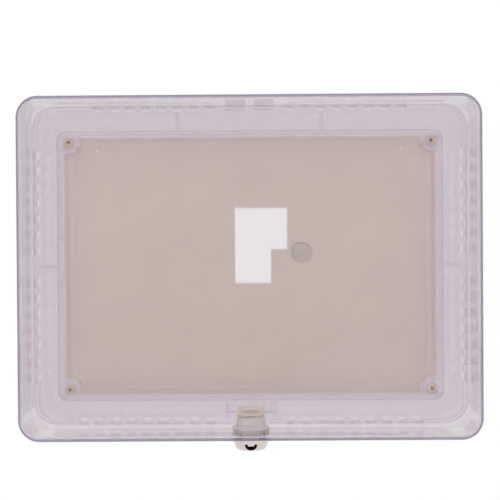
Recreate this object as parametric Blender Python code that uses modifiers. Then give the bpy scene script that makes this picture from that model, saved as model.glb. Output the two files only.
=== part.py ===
"""Clear lockable guard that closes over a wall thermostat.

A slotted ring base and a wall plate stay on the wall. The clear cover hooks on
at the top, swings out at the bottom and is locked there by a cam lock.
Metres, +Z up, the wall is the plane Y = 0 and the cover faces -Y.
"""
import math

import bmesh
import bpy
from mathutils import Matrix, Vector

# Cover
COVER_WIDTH = 0.2985
COVER_HEIGHT = 0.2220
COVER_FRONT = 0.0790
COVER_BACK = 0.0030
COVER_WALL = 0.0025
COVER_DRAFT = math.radians(1.5)
COVER_CORNER = 0.0140
COVER_EDGE = 0.0035

# Ring base
RING_DEPTH = 0.0210
RING_WALL = 0.0026
RING_FLOOR = 0.0025
RING_CORNER = 0.0150
INNER_WALL = 0.0032
INNER_DEPTH = 0.0120
INNER_CORNER = 0.0030
RIB = 0.0020
TAB_REACH = 0.0120
TAB_THICK = 0.0027
TAB_ROUND = 0.0085

# Vent slots round the ring
SLOT_PITCH = 0.0109
SLOT_WIDTH = 0.0055
SLOT_START = 0.0045
SLOT_END = 0.0180
SIDE_SOLID = 0.0250
TOP_SOLID = 0.0350
BOTTOM_SOLID = 0.0250

# Wall plate
PLATE_SIDE_BAND = 0.02045
PLATE_TOP_BAND = 0.0218
PLATE_THICK = 0.0030
PLATE_STEP = 0.0014
PLATE_STEP_DEPTH = 0.0004
WIRE_LEFT = -0.0106
WIRE_RIGHT = 0.0255
WIRE_NARROW_RIGHT = 0.0143
WIRE_TOP = 0.0397
WIRE_NOTCH = 0.0112
WIRE_BOTTOM = -0.0122
WIRE_ROUND = 0.0008
KNOCKOUT_X = 0.0354
KNOCKOUT_Z = 0.0088
KNOCKOUT_RADIUS = 0.0073
KNOCKOUT_GROOVE = 0.0007
KNOCKOUT_DEPTH = 0.0012
MARK_FROM_SIDE = 0.0236
MARK_FROM_TOP = 0.0086
MARK_RADIUS = 0.0013
MARK_DEPTH = 0.0008

# Corner screws
SCREW_INSET = 0.0041
SCREW_SHANK = 0.00195
SCREW_HEAD = 0.0037
SCREW_HEAD_HEIGHT = 0.0022

# Cam lock, standing upright through the bottom wall of the cover
LOCK_FROM_WALL = 0.0450
PLUG_RADIUS = 0.0060
RELIEF_STEP = 0.0011
BARREL_SKIN = 0.0035
BARREL_FLAT_STEP = 0.0013
BARREL_ABOVE_WALL = 0.0100
HEAD_STEP = 0.0031
HEAD_HEIGHT = 0.0084
HEAD_FACE_STEP = 0.0023
KEYWAY_LONG = 0.0076
KEYWAY_WIDE = 0.0022
WASHER_STEP = 0.0029
WASHER_THICK = 0.0008
NUT_STEP = 0.0011
NUT_THICK = 0.0028
CLIP_STEP = 0.0020
CLIP_THICK = 0.0007
CAM_LENGTH = 0.0280
CAM_WIDTH = 0.0190
CAM_THICK = 0.0018
CAM_SQUARE = 0.0070
CAM_SCREW_SHANK = 0.0019
CAM_SCREW_HEAD = 0.0043
CAM_SCREW_HEIGHT = 0.0022
CAM_WASHER_RADIUS = 0.0054
WAFERS = 5
WAFER_PITCH = 0.0025
WAFER_THICK = 0.0009
WAFER_SHORT_BY = 0.0002
WAFER_WIDE = 0.0060
WAFER_OUT = 0.0006

# Hooks that carry the cover
HOOK_INNER = 0.0030
HOOK_OUTER = 0.0165
HOOK_THICK = 0.0017
HOOK_REACH = 0.0032
HOOK_SLOT_DEPTH = 0.0085

# Fits
GAP = 0.0003
SIDE_FIT = 0.0006
TOP_FIT = 0.0006
SWING_FIT = 0.0020
THREAD_FIT = 0.0004
OVER = 0.0010

# Sizes that follow from the ones above
PLATE_WIDTH = COVER_WIDTH - 2 * PLATE_SIDE_BAND
PLATE_HEIGHT = COVER_HEIGHT - 2 * PLATE_TOP_BAND
MARK_X = PLATE_WIDTH / 2 - MARK_FROM_SIDE
MARK_Z = PLATE_HEIGHT / 2 - MARK_FROM_TOP
SIDE_SLOTS = int((COVER_HEIGHT / 2 - SIDE_SOLID) / SLOT_PITCH)
TOP_SLOTS = int((COVER_WIDTH / 2 - TOP_SOLID) / SLOT_PITCH)
BOTTOM_SLOTS = int((COVER_WIDTH / 2 - BOTTOM_SOLID) / SLOT_PITCH)
RELIEF_RADIUS = PLUG_RADIUS + RELIEF_STEP
BARREL_RADIUS = PLUG_RADIUS + BARREL_SKIN
BARREL_FLAT = BARREL_RADIUS - BARREL_FLAT_STEP
HEAD_RADIUS = BARREL_RADIUS + HEAD_STEP
HEAD_FACE = PLUG_RADIUS + HEAD_FACE_STEP
WASHER_RADIUS = BARREL_RADIUS + WASHER_STEP
NUT_FLATS = 2 * (BARREL_RADIUS + NUT_STEP)
CLIP_RADIUS = PLUG_RADIUS + CLIP_STEP
WAFER_LONG = 2 * PLUG_RADIUS - WAFER_SHORT_BY

for old in list(bpy.data.objects):
    bpy.data.objects.remove(old, do_unlink=True)

guard = bpy.data.collections.new("thermostat_guard")
tools = bpy.data.collections.new("cutters")
bpy.context.scene.collection.children.link(guard)
bpy.context.scene.collection.children.link(tools)


def material(name, colour, roughness, metallic=0.0, alpha=1.0):
    """A plain Principled material."""
    made = bpy.data.materials.new(name)
    made.use_nodes = True
    shader = made.node_tree.nodes["Principled BSDF"]
    shader.inputs["Base Color"].default_value = (*colour, 1.0)
    shader.inputs["Roughness"].default_value = roughness
    shader.inputs["Metallic"].default_value = metallic
    shader.inputs["Alpha"].default_value = alpha
    made.diffuse_color = (*colour, alpha)
    return made


def from_mesh(name, mesh, home):
    """A new object in the given collection, hidden when it is only a tool."""
    made = bpy.data.objects.new(name, mesh)
    home.objects.link(made)
    if home is tools:
        made.hide_render = True
        made.display_type = "WIRE"
    return made


def from_bmesh(name, shape, home):
    """Turns a finished bmesh into an object."""
    bmesh.ops.recalc_face_normals(shape, faces=shape.faces)
    mesh = bpy.data.meshes.new(name)
    shape.to_mesh(mesh)
    shape.free()
    return from_mesh(name, mesh, home)


def block_shape(low, high):
    """A box between two corners."""
    low = Vector(low)
    high = Vector(high)
    shape = bmesh.new()
    size = Matrix.Diagonal((*(high - low), 1.0))
    place = Matrix.Translation((low + high) / 2)
    bmesh.ops.create_cube(shape, size=1.0, matrix=place @ size)
    return shape


def edges_along(shape, axis):
    """The edges that run along one axis."""
    found = []
    for edge in shape.edges:
        run = (edge.verts[0].co - edge.verts[1].co).normalized()
        if abs(run[axis]) > 0.9:
            found.append(edge)
    return found


def block(name, low, high, home=tools, radius=0.0, axis=1, segments=4):
    """A box whose edges along one axis may be rounded."""
    shape = block_shape(low, high)
    if radius:
        edges = edges_along(shape, axis)
        bmesh.ops.bevel(shape, geom=edges, offset=radius, segments=segments, profile=0.5, affect="EDGES")
    return from_bmesh(name, shape, home)


def rod(name, radius, start, end, home=tools, segments=24, sides_at=0.0):
    """A round bar between two points."""
    start = Vector(start)
    end = Vector(end)
    run = end - start
    turn = run.to_track_quat("Z", "Y").to_matrix().to_4x4()
    place = Matrix.Translation((start + end) / 2) @ turn @ Matrix.Rotation(sides_at, 4, "Z")
    shape = bmesh.new()
    bmesh.ops.create_cone(
        shape,
        cap_ends=True,
        segments=segments,
        radius1=radius,
        radius2=radius,
        depth=run.length,
        matrix=place,
    )
    return from_bmesh(name, shape, home)


def turned(name, profile, centre, home=guard, steps=32, closed=False):
    """A turned body: the profile holds (radius, height) pairs and spins round Z."""
    mesh = bpy.data.meshes.new(name)
    points = [(radius, 0.0, height) for radius, height in profile]
    edges = [(i, i + 1) for i in range(len(points) - 1)]
    if closed:
        edges.append((len(points) - 1, 0))
    mesh.from_pydata(points, edges, [])
    made = from_mesh(name, mesh, home)
    made.location = centre
    spin = made.modifiers.new("turn", "SCREW")
    spin.axis = "Z"
    spin.steps = steps
    spin.render_steps = steps
    spin.use_merge_vertices = True
    spin.merge_threshold = 0.00001
    spin.use_normal_calculate = True
    return made


def combine(target, other, how):
    """Adds a Boolean modifier of the exact solver."""
    step = target.modifiers.new(how.lower(), "BOOLEAN")
    step.operation = how
    step.solver = "EXACT"
    step.object = other


def cut(target, *others):
    """Takes the other shapes out of the target."""
    for other in others:
        combine(target, other, "DIFFERENCE")


def add(target, *others):
    """Joins the other shapes to the target."""
    for other in others:
        combine(target, other, "UNION")


def freeze(target):
    """Replaces the object's mesh by the result of its modifiers."""
    bpy.context.view_layer.update()
    graph = bpy.context.evaluated_depsgraph_get()
    mesh = bpy.data.meshes.new_from_object(target.evaluated_get(graph))
    target.modifiers.clear()
    target.data = mesh
    shape = bmesh.new()
    shape.from_mesh(mesh)
    bmesh.ops.remove_doubles(shape, verts=shape.verts, dist=0.000002)
    bmesh.ops.dissolve_degenerate(shape, edges=shape.edges, dist=0.000002)
    bmesh.ops.recalc_face_normals(shape, faces=shape.faces)
    shape.to_mesh(mesh)
    shape.free()
    return target


def finish(target, look, smooth=True):
    """Gives a body its material and shades its round faces smooth."""
    target.data.materials.clear()
    target.data.materials.append(look)
    if smooth:
        for face in target.data.polygons:
            face.use_smooth = True
        target.data.set_sharp_from_angle(angle=math.radians(30))
    return target


def set_origin(target, point):
    """Moves an unturned object's origin to a point and leaves its shape where it is."""
    target.data.transform(Matrix.Translation(target.location - Vector(point)))
    target.location = point


def marker(name, point, parent=None):
    """An empty on a joint's axis."""
    made = bpy.data.objects.new(name, None)
    made.empty_display_size = 0.02
    made.location = point
    guard.objects.link(made)
    if parent:
        attach(made, parent)
    return made


def attach(child, parent):
    """Parents an object and leaves it where it is."""
    bpy.context.view_layer.update()
    child.parent = parent
    child.matrix_parent_inverse = parent.matrix_world.inverted()


clear = material("clear_plastic", (0.78, 0.74, 0.85), 0.08, alpha=0.35)
clear_base = material("clear_base_plastic", (0.80, 0.77, 0.86), 0.12, alpha=0.35)
beige = material("beige_plastic", (0.67, 0.59, 0.53), 0.55)
gold_zinc = material("yellow_zinc", (0.58, 0.46, 0.27), 0.35, 1.0)
nickel = material("nickel", (0.66, 0.61, 0.56), 0.22, 1.0)
cam_steel = material("cam_plating", (0.56, 0.43, 0.30), 0.38, 1.0)
wafer_brass = material("wafer_brass", (0.72, 0.52, 0.22), 0.35, 1.0)
spring_steel = material("spring_steel", (0.45, 0.44, 0.42), 0.35, 1.0)

# ---------------------------------------------------------------- cover
lean = math.tan(COVER_DRAFT)


def cover_half(size, from_wall):
    """Half the cover's outer size at a distance from the wall: it widens towards the wall."""
    return size / 2 + (COVER_FRONT - from_wall) * lean


back_x = cover_half(COVER_WIDTH, COVER_BACK)
back_z = cover_half(COVER_HEIGHT, COVER_BACK)
shell = block_shape((-back_x, -COVER_FRONT, -back_z), (back_x, -COVER_BACK, back_z))
for corner in shell.verts:
    if corner.co.y < -(COVER_FRONT + COVER_BACK) / 2:
        corner.co.x = math.copysign(COVER_WIDTH / 2, corner.co.x)
        corner.co.z = math.copysign(COVER_HEIGHT / 2, corner.co.z)
bmesh.ops.bevel(
    shell,
    geom=edges_along(shell, 1),
    offset=COVER_CORNER,
    segments=8,
    profile=0.5,
    affect="EDGES",
)
rim = [e for e in shell.edges if all(abs(v.co.y + COVER_FRONT) < 1e-5 for v in e.verts)]
bmesh.ops.bevel(shell, geom=rim, offset=COVER_EDGE, segments=4, profile=0.5, affect="EDGES")
back = [f for f in shell.faces if all(abs(v.co.y + COVER_BACK) < 1e-5 for v in f.verts)]
bmesh.ops.delete(shell, geom=back, context="FACES_ONLY")
cover = from_bmesh("cover", shell, guard)
skin = cover.modifiers.new("wall", "SOLIDIFY")
skin.thickness = COVER_WALL
skin.offset = -1.0
skin.use_even_offset = True

# The cover turns about a line just under the back edge of its top wall.
hinge_y = -(COVER_BACK + OVER)
top_inside = cover_half(COVER_HEIGHT, COVER_BACK) - COVER_WALL
hinge_z = top_inside - GAP
hooks = []
for side in (-1, 1):
    left, right = sorted((side * HOOK_INNER, side * HOOK_OUTER))
    low = (left, hinge_y - HOOK_THICK + GAP, hinge_z - HOOK_REACH)
    high = (right, hinge_y + GAP, top_inside + COVER_WALL / 2)
    hooks.append(block(f"hook_{'left' if side < 0 else 'right'}", low, high))
add(cover, *hooks)

# ---------------------------------------------------------------- lock heights
lock_y = -LOCK_FROM_WALL
wall_outside = -cover_half(COVER_HEIGHT, LOCK_FROM_WALL - HEAD_RADIUS)
wall_inside = -(cover_half(COVER_HEIGHT, LOCK_FROM_WALL + WASHER_RADIUS) - COVER_WALL)
head_top = wall_outside - GAP
head_bottom = head_top - HEAD_HEIGHT
washer_bottom = wall_inside + GAP
washer_top = washer_bottom + WASHER_THICK
nut_bottom = washer_top + GAP
nut_top = nut_bottom + NUT_THICK
barrel_top = wall_inside + BARREL_ABOVE_WALL
clip_bottom = barrel_top + GAP
clip_top = clip_bottom + CLIP_THICK
cam_bottom = clip_top + GAP
cam_top = cam_bottom + CAM_THICK
cam_washer_bottom = cam_top + GAP
cam_washer_top = cam_washer_bottom + WASHER_THICK
cam_head_bottom = cam_washer_top + GAP
cam_head_top = cam_head_bottom + CAM_SCREW_HEIGHT

below_wall = (0, lock_y, wall_outside - 0.01)
above_wall = (0, lock_y, wall_inside + 0.01)
hole = rod("lock_hole", BARREL_RADIUS + THREAD_FIT, below_wall, above_wall)
flat_y = BARREL_FLAT + THREAD_FIT
hole_sides = block(
    "lock_hole_flats",
    (-0.02, lock_y - flat_y, wall_outside - 0.02),
    (0.02, lock_y + flat_y, wall_inside + 0.02),
)
combine(hole, hole_sides, "INTERSECT")
cut(cover, hole)
finish(freeze(cover), clear)

# ---------------------------------------------------------------- ring base
ring_x = cover_half(COVER_WIDTH, RING_DEPTH) - COVER_WALL - SIDE_FIT
ring_top = cover_half(COVER_HEIGHT, RING_DEPTH) - COVER_WALL - TOP_FIT
ring_bottom = -(cover_half(COVER_HEIGHT, RING_DEPTH) - COVER_WALL - SWING_FIT)
window_x = PLATE_WIDTH / 2 + GAP
window_z = PLATE_HEIGHT / 2 + GAP

ring = block(
    "ring_base",
    (-ring_x, -RING_DEPTH, ring_bottom),
    (ring_x, 0, ring_top),
    guard,
    RING_CORNER,
    segments=6,
)
tray = block(
    "ring_channel",
    (-ring_x + RING_WALL, -RING_DEPTH - OVER, ring_bottom + RING_WALL),
    (ring_x - RING_WALL, -RING_FLOOR, ring_top - RING_WALL),
    tools,
    RING_CORNER - RING_WALL,
    segments=6,
)
inner = block(
    "ring_inner_wall",
    (-window_x - INNER_WALL, -INNER_DEPTH, -window_z - INNER_WALL),
    (window_x + INNER_WALL, -RING_FLOOR / 2, window_z + INNER_WALL),
    tools,
    INNER_CORNER + INNER_WALL,
)
window = block(
    "ring_window",
    (-window_x, -RING_DEPTH - OVER, -window_z),
    (window_x, OVER, window_z),
    tools,
    INNER_CORNER,
)
cut(ring, tray)
add(ring, inner)
cut(ring, window)

rib_x = (4.5 * SLOT_PITCH, 1.5 * SLOT_PITCH)
ribs = []
for side in (-1, 1):
    label = "left" if side < 0 else "right"
    for name, middle, inside, outside in (
        ("top", side * rib_x[0], window_z + OVER, ring_top - OVER),
        ("bottom", side * rib_x[1], ring_bottom + OVER, -window_z - OVER),
    ):
        low = (middle - RIB / 2, -INNER_DEPTH - OVER, inside)
        high = (middle + RIB / 2, -RING_FLOOR / 2, outside)
        ribs.append(block(f"rib_{name}_{label}", low, high))
    left, right = sorted((side * (window_x + OVER), side * (ring_x - OVER)))
    ribs.append(
        block(f"rib_{label}", (left, -INNER_DEPTH - OVER, -RIB / 2), (right, -RING_FLOOR / 2, RIB / 2))
    )

# The shelf under the cam's tip lies between the two bottom ribs.
shelf_top = cam_bottom - GAP - GAP
shelf = block(
    "catch_shelf",
    (-rib_x[1], -RING_DEPTH + OVER, shelf_top - RIB),
    (rib_x[1], -RING_FLOOR / 2, shelf_top),
)
add(ring, *ribs, shelf)

# Corner tabs overlap the plate's corners and take its screws.
screw_x = PLATE_WIDTH / 2 - SCREW_INSET
screw_z = PLATE_HEIGHT / 2 - SCREW_INSET + GAP
tab_back = -(PLATE_THICK + GAP)
tab_front = tab_back - TAB_THICK
screw_spots = []
for sx in (-1, 1):
    for sz in (1, -1):
        screw_spots.append((sx * screw_x, sz * screw_z))
        xs = sorted((sx * (window_x - TAB_REACH), sx * (window_x + OVER)))
        zs = sorted((sz * (window_z - TAB_REACH), sz * (window_z + OVER)))
        shape = block_shape((xs[0], tab_front, zs[0]), (xs[1], tab_back, zs[1]))
        inner_edge = []
        for edge in edges_along(shape, 1):
            middle = (edge.verts[0].co + edge.verts[1].co) / 2
            if abs(middle.x) < window_x - TAB_REACH / 2 and abs(middle.z) < window_z - TAB_REACH / 2:
                inner_edge.append(edge)
        bmesh.ops.bevel(shape, geom=inner_edge, offset=TAB_ROUND, segments=6, profile=0.5, affect="EDGES")
        add(ring, from_bmesh(f"tab_{len(screw_spots)}", shape, tools))

# Vent slots: one row in each side of the outer wall, left out at the ribs, hooks and lock.
slots = bmesh.new()


def vent(centre_x, centre_z, half_x, half_z):
    """Adds one slot cutter to the shared tool."""
    size = Matrix.Diagonal((2 * half_x, SLOT_END - SLOT_START, 2 * half_z, 1.0))
    place = Matrix.Translation((centre_x, -(SLOT_START + SLOT_END) / 2, centre_z))
    bmesh.ops.create_cube(slots, size=1.0, matrix=place @ size)


for side in (-1, 1):
    for i in range(1, SIDE_SLOTS + 1):
        for up in (-1, 1):
            vent(side * (ring_x - RING_WALL / 2), up * i * SLOT_PITCH, RING_WALL, SLOT_WIDTH / 2)
    for i in range(2, TOP_SLOTS):
        vent(side * (i + 0.5) * SLOT_PITCH, ring_top - RING_WALL / 2, SLOT_WIDTH / 2, RING_WALL)
    for i in range(2, BOTTOM_SLOTS):
        vent(side * (i + 0.5) * SLOT_PITCH, ring_bottom + RING_WALL / 2, SLOT_WIDTH / 2, RING_WALL)
cut(ring, from_bmesh("vent_slots", slots, tools))

hook_slots = []
for side in (-1, 1):
    left, right = sorted((side * (HOOK_INNER - GAP * 2), side * (HOOK_OUTER + GAP * 2)))
    low = (left, -HOOK_SLOT_DEPTH, ring_top - RING_WALL - OVER)
    high = (right, -RING_FLOOR / 2, ring_top + OVER)
    hook_slots.append(block(f"hook_slot_{'left' if side < 0 else 'right'}", low, high))
cut(ring, *hook_slots)
for i, (x, z) in enumerate(screw_spots, 1):
    cut(ring, rod(f"tab_hole_{i}", SCREW_SHANK + GAP, (x, -RING_DEPTH, z), (x, OVER, z), segments=16))
finish(freeze(ring), clear_base)

# ---------------------------------------------------------------- wall plate
plate_x = PLATE_WIDTH / 2
plate_z = PLATE_HEIGHT / 2
plate = block(
    "wall_plate",
    (-plate_x, -(PLATE_THICK - PLATE_STEP_DEPTH), -plate_z),
    (plate_x, 0, plate_z),
    guard,
    INNER_CORNER,
)
panel = block(
    "plate_panel",
    (-plate_x + PLATE_STEP, -PLATE_THICK, -plate_z + PLATE_STEP),
    (plate_x - PLATE_STEP, -PLATE_THICK / 2, plate_z - PLATE_STEP),
    tools,
    INNER_CORNER - PLATE_STEP,
)
add(plate, panel)
wire = block(
    "wire_opening",
    (WIRE_LEFT, -2 * PLATE_THICK, WIRE_BOTTOM),
    (WIRE_RIGHT, PLATE_THICK, WIRE_TOP),
    tools,
    WIRE_ROUND,
    segments=2,
)
wire_step = block(
    "wire_opening_step",
    (WIRE_NARROW_RIGHT, -3 * PLATE_THICK, 2 * WIRE_BOTTOM),
    (2 * WIRE_RIGHT, 2 * PLATE_THICK, WIRE_NOTCH),
    tools,
    2 * WIRE_ROUND,
    segments=3,
)
cut(wire, wire_step)
knockout = turned(
    "knockout_groove",
    [
        (KNOCKOUT_RADIUS - KNOCKOUT_GROOVE, -KNOCKOUT_DEPTH),
        (KNOCKOUT_RADIUS, -KNOCKOUT_DEPTH),
        (KNOCKOUT_RADIUS, KNOCKOUT_DEPTH),
        (KNOCKOUT_RADIUS - KNOCKOUT_GROOVE, KNOCKOUT_DEPTH),
    ],
    (KNOCKOUT_X, -PLATE_THICK, KNOCKOUT_Z),
    tools,
    steps=28,
    closed=True,
)
knockout.rotation_euler = (math.radians(90), 0, 0)
cut(plate, wire, freeze(knockout))
for side in (-1, 1):
    label = "left" if side < 0 else "right"
    spot = (side * MARK_X, -PLATE_THICK - OVER, MARK_Z)
    end = (side * MARK_X, -PLATE_THICK + MARK_DEPTH, MARK_Z)
    cut(plate, rod(f"pilot_mark_{label}", MARK_RADIUS, spot, end, segments=12))
for i, (x, z) in enumerate(screw_spots, 1):
    hole_end = (x, OVER, z)
    cut(plate, rod(f"plate_hole_{i}", SCREW_SHANK + GAP, (x, -2 * PLATE_THICK, z), hole_end, segments=16))
finish(freeze(plate), beige)


# ---------------------------------------------------------------- screws
def pan_screw(name, head, height, shank, length, recess, centre, home=guard):
    """A pan head screw with a cross recess. The head stands up along its own Z."""
    profile = [
        (0.0, height),
        (head * 0.55, height),
        (head * 0.85, height * 0.80),
        (head, height * 0.38),
        (head, 0.0),
        (shank, 0.0),
        (shank, -length + shank * 0.4),
        (shank * 0.6, -length),
        (0.0, -length),
    ]
    made = turned(name, profile, centre, home, steps=20)
    arm = recess / 2
    thick = recess * 0.13
    for label, x, y in (("a", arm, thick), ("b", thick, arm)):
        tool = block(f"{name}_recess_{label}", (-x, -y, height * 0.35), (x, y, height * 1.5))
        tool.parent = made
        cut(made, tool)
    return made


screw_length = -tab_front
model = pan_screw(
    "corner_screw_1",
    SCREW_HEAD,
    SCREW_HEAD_HEIGHT,
    SCREW_SHANK,
    screw_length,
    SCREW_HEAD * 1.1,
    (0, 0, 0),
)
finish(freeze(model), gold_zinc)
for i, (x, z) in enumerate(screw_spots, 1):
    screw = model if i == 1 else from_mesh(f"corner_screw_{i}", model.data.copy(), guard)
    screw.location = (x, tab_front - GAP, z)
    screw.rotation_euler = (math.radians(90), 0, 0)

# ---------------------------------------------------------------- lock housing
lock_axis = Vector((0, lock_y, 0))
bore = PLUG_RADIUS + GAP
wafer_low = head_bottom + 0.0058
wafer_high = wafer_low + (WAFERS - 1) * WAFER_PITCH
relief_low = wafer_low - WAFER_PITCH / 2
relief_high = wafer_high + WAFER_PITCH / 2
taper = RELIEF_RADIUS - bore
housing = turned(
    "lock_housing",
    [
        (bore, head_bottom + 0.0002),
        (HEAD_FACE, head_bottom),
        (HEAD_FACE + 0.0012, head_bottom + 0.0006),
        (HEAD_FACE + 0.0022, head_bottom + 0.0021),
        (HEAD_RADIUS - 0.0014, head_bottom + 0.0042),
        (HEAD_RADIUS - 0.0003, head_bottom + 0.0064),
        (HEAD_RADIUS, head_top - 0.0007),
        (HEAD_RADIUS - 0.0004, head_top),
        (BARREL_RADIUS, head_top),
        (BARREL_RADIUS, barrel_top - 0.0006),
        (BARREL_RADIUS - 0.0006, barrel_top),
        (bore, barrel_top),
        (bore, relief_high + taper),
        (RELIEF_RADIUS, relief_high),
        (RELIEF_RADIUS, relief_low),
        (bore, relief_low - taper),
    ],
    lock_axis,
    steps=40,
    closed=True,
)
for side in (-1, 1):
    near, far = sorted((side * BARREL_FLAT, side * (BARREL_RADIUS + OVER)))
    low = (-0.012, lock_y + near, head_top)
    high = (0.012, lock_y + far, barrel_top + OVER)
    cut(housing, block(f"barrel_flat_{'front' if side < 0 else 'back'}", low, high))
mouth = Vector((0, lock_y - HEAD_RADIUS + 0.0021, head_bottom + 0.0034))
mouth_run = Vector((0, -math.cos(math.radians(35)), -math.sin(math.radians(35))))
cut(housing, rod("key_mouth", KEYWAY_LONG / 2, mouth - mouth_run * 0.0022, mouth + mouth_run * 0.01))
finish(freeze(housing), nickel)

washer = turned(
    "lock_washer",
    [
        (BARREL_RADIUS + THREAD_FIT, washer_bottom),
        (WASHER_RADIUS, washer_bottom),
        (WASHER_RADIUS, washer_top),
        (BARREL_RADIUS + THREAD_FIT, washer_top),
    ],
    lock_axis,
    steps=32,
    closed=True,
)
finish(freeze(washer), spring_steel)

nut_corner = NUT_FLATS / 2 / math.cos(math.radians(30))
nut = rod(
    "lock_nut",
    nut_corner,
    (0, lock_y, nut_bottom),
    (0, lock_y, nut_top),
    guard,
    segments=6,
    sides_at=math.radians(30),
)
chamfer = turned(
    "nut_chamfer",
    [
        (0.0, nut_top),
        (NUT_FLATS / 2, nut_top),
        (nut_corner + OVER, nut_top - NUT_THICK / 3),
        (nut_corner + OVER, nut_bottom),
        (0.0, nut_bottom),
    ],
    lock_axis,
    tools,
    steps=36,
)
nut_bore = rod(
    "nut_bore",
    BARREL_RADIUS + THREAD_FIT,
    (0, lock_y, nut_bottom - OVER),
    (0, lock_y, nut_top + OVER),
    segments=32,
)
combine(nut, chamfer, "INTERSECT")
cut(nut, nut_bore)
finish(freeze(nut), nickel)

# ---------------------------------------------------------------- lock plug
plug_bottom = head_bottom + 2 * GAP
neck = PLUG_RADIUS - 0.0014
plug_end = barrel_top - GAP
square_top = cam_top - GAP
screw_hole_bottom = wafer_high + 0.0036
plug = turned(
    "lock_plug",
    [
        (0.0, clip_top + GAP / 2),
        (neck, clip_top + GAP / 2),
        (neck, plug_end),
        (PLUG_RADIUS, plug_end),
        (PLUG_RADIUS, plug_bottom + 0.0003),
        (PLUG_RADIUS - 0.0003, plug_bottom),
        (0.0, plug_bottom),
    ],
    lock_axis,
    steps=36,
)
half = CAM_SQUARE / 2
square_bottom = clip_top + GAP / 3
square = block("plug_square", (-half, lock_y - half, square_bottom), (half, lock_y + half, square_top))
add(plug, square)
keyway = block(
    "keyway",
    (-KEYWAY_LONG / 2, lock_y - KEYWAY_WIDE / 2, plug_bottom - OVER),
    (KEYWAY_LONG / 2, lock_y + KEYWAY_WIDE / 2, wafer_high + 0.0015),
)
screw_hole = rod(
    "cam_screw_hole",
    CAM_SCREW_SHANK + GAP,
    (0, lock_y, screw_hole_bottom),
    (0, lock_y, square_top + OVER),
    segments=16,
)
cut(plug, keyway, screw_hole)
slot_y = WAFER_WIDE / 2 + GAP
slot_z = WAFER_THICK / 2 + GAP
for i in range(WAFERS):
    height = wafer_low + i * WAFER_PITCH
    low = (-PLUG_RADIUS - OVER, lock_y - slot_y, height - slot_z)
    high = (PLUG_RADIUS + OVER, lock_y + slot_y, height + slot_z)
    cut(plug, block(f"wafer_slot_{i + 1}", low, high))
finish(freeze(plug), nickel)

# ---------------------------------------------------------------- wafers
wafers = []
for i in range(WAFERS):
    height = wafer_low + i * WAFER_PITCH
    wafer = block(
        f"wafer_{i + 1}",
        (-WAFER_LONG / 2 + WAFER_OUT, lock_y - WAFER_WIDE / 2, height - WAFER_THICK / 2),
        (WAFER_LONG / 2 + WAFER_OUT, lock_y + WAFER_WIDE / 2, height + WAFER_THICK / 2),
        guard,
        WAFER_WIDE * 0.27,
        axis=2,
        segments=3,
    )
    window_low = (-KEYWAY_LONG / 2 - GAP, lock_y - KEYWAY_WIDE / 2 - GAP, height - WAFER_THICK)
    window_high = (KEYWAY_LONG / 2 + GAP, lock_y + KEYWAY_WIDE / 2 + GAP, height + WAFER_THICK)
    cut(wafer, block(f"wafer_window_{i + 1}", window_low, window_high))
    wafers.append(finish(freeze(wafer), wafer_brass))

# ---------------------------------------------------------------- clip, cam, washer, screw
clip = turned(
    "plug_clip",
    [
        (neck + GAP, clip_bottom),
        (CLIP_RADIUS, clip_bottom),
        (CLIP_RADIUS, clip_top),
        (neck + GAP, clip_top),
    ],
    lock_axis,
    steps=32,
    closed=True,
)
cut(
    clip,
    block(
        "clip_gap",
        (-neck * 0.6, lock_y - CLIP_RADIUS - OVER, clip_bottom - OVER),
        (neck * 0.6, lock_y, clip_top + OVER),
    ),
)
finish(freeze(clip), spring_steel)

cam_shape = block_shape(
    (-CAM_WIDTH / 2, lock_y - CAM_WIDTH / 2, cam_bottom),
    (CAM_WIDTH / 2, lock_y + CAM_LENGTH, cam_top),
)
round_end = [e for e in edges_along(cam_shape, 2) if e.verts[0].co.y < lock_y]
bmesh.ops.bevel(cam_shape, geom=round_end, offset=CAM_WIDTH * 0.46, segments=8, profile=0.5, affect="EDGES")
tip_y = lock_y + CAM_LENGTH - 1e-5
tip_end = [e for e in edges_along(cam_shape, 2) if e.verts[0].co.y > tip_y]
bmesh.ops.bevel(cam_shape, geom=tip_end, offset=CAM_WIDTH * 0.18, segments=4, profile=0.5, affect="EDGES")
cam = from_bmesh("lock_cam", cam_shape, guard)
half = CAM_SQUARE / 2 + GAP
cut(
    cam,
    block("cam_square", (-half, lock_y - half, cam_bottom - OVER), (half, lock_y + half, cam_top + OVER)),
)
finish(freeze(cam), cam_steel)

cam_washer = turned(
    "cam_washer",
    [
        (CAM_SCREW_SHANK + GAP, cam_washer_bottom),
        (CAM_WASHER_RADIUS, cam_washer_bottom),
        (CAM_WASHER_RADIUS, cam_washer_top),
        (CAM_SCREW_SHANK + GAP, cam_washer_top),
    ],
    lock_axis,
    steps=24,
    closed=True,
)
finish(freeze(cam_washer), spring_steel)

cam_screw = pan_screw(
    "cam_screw",
    CAM_SCREW_HEAD,
    CAM_SCREW_HEIGHT,
    CAM_SCREW_SHANK,
    cam_head_bottom - screw_hole_bottom - GAP,
    CAM_SCREW_HEAD * 1.1,
    (0, lock_y, cam_head_bottom),
)
finish(freeze(cam_screw), nickel)

# ---------------------------------------------------------------- what moves with what
hinge_line = (0, hinge_y, hinge_z)
set_origin(cover, hinge_line)
set_origin(cam, (0, lock_y, 0))
set_origin(nut, (0, lock_y, 0))
for i, wafer in enumerate(wafers):
    set_origin(wafer, (0, lock_y, wafer_low + i * WAFER_PITCH))
cover_swing = marker("cover_swing", hinge_line)
for body in (cover, housing, washer, nut):
    attach(body, cover_swing)
plug_turn = marker("plug_turn", (0, lock_y, 0), cover_swing)
for body in (plug, clip, cam, cam_washer, cam_screw, *wafers):
    attach(body, plug_turn)

for tool in tools.objects:
    tool.hide_render = True
    tool.display_type = "WIRE"
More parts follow.
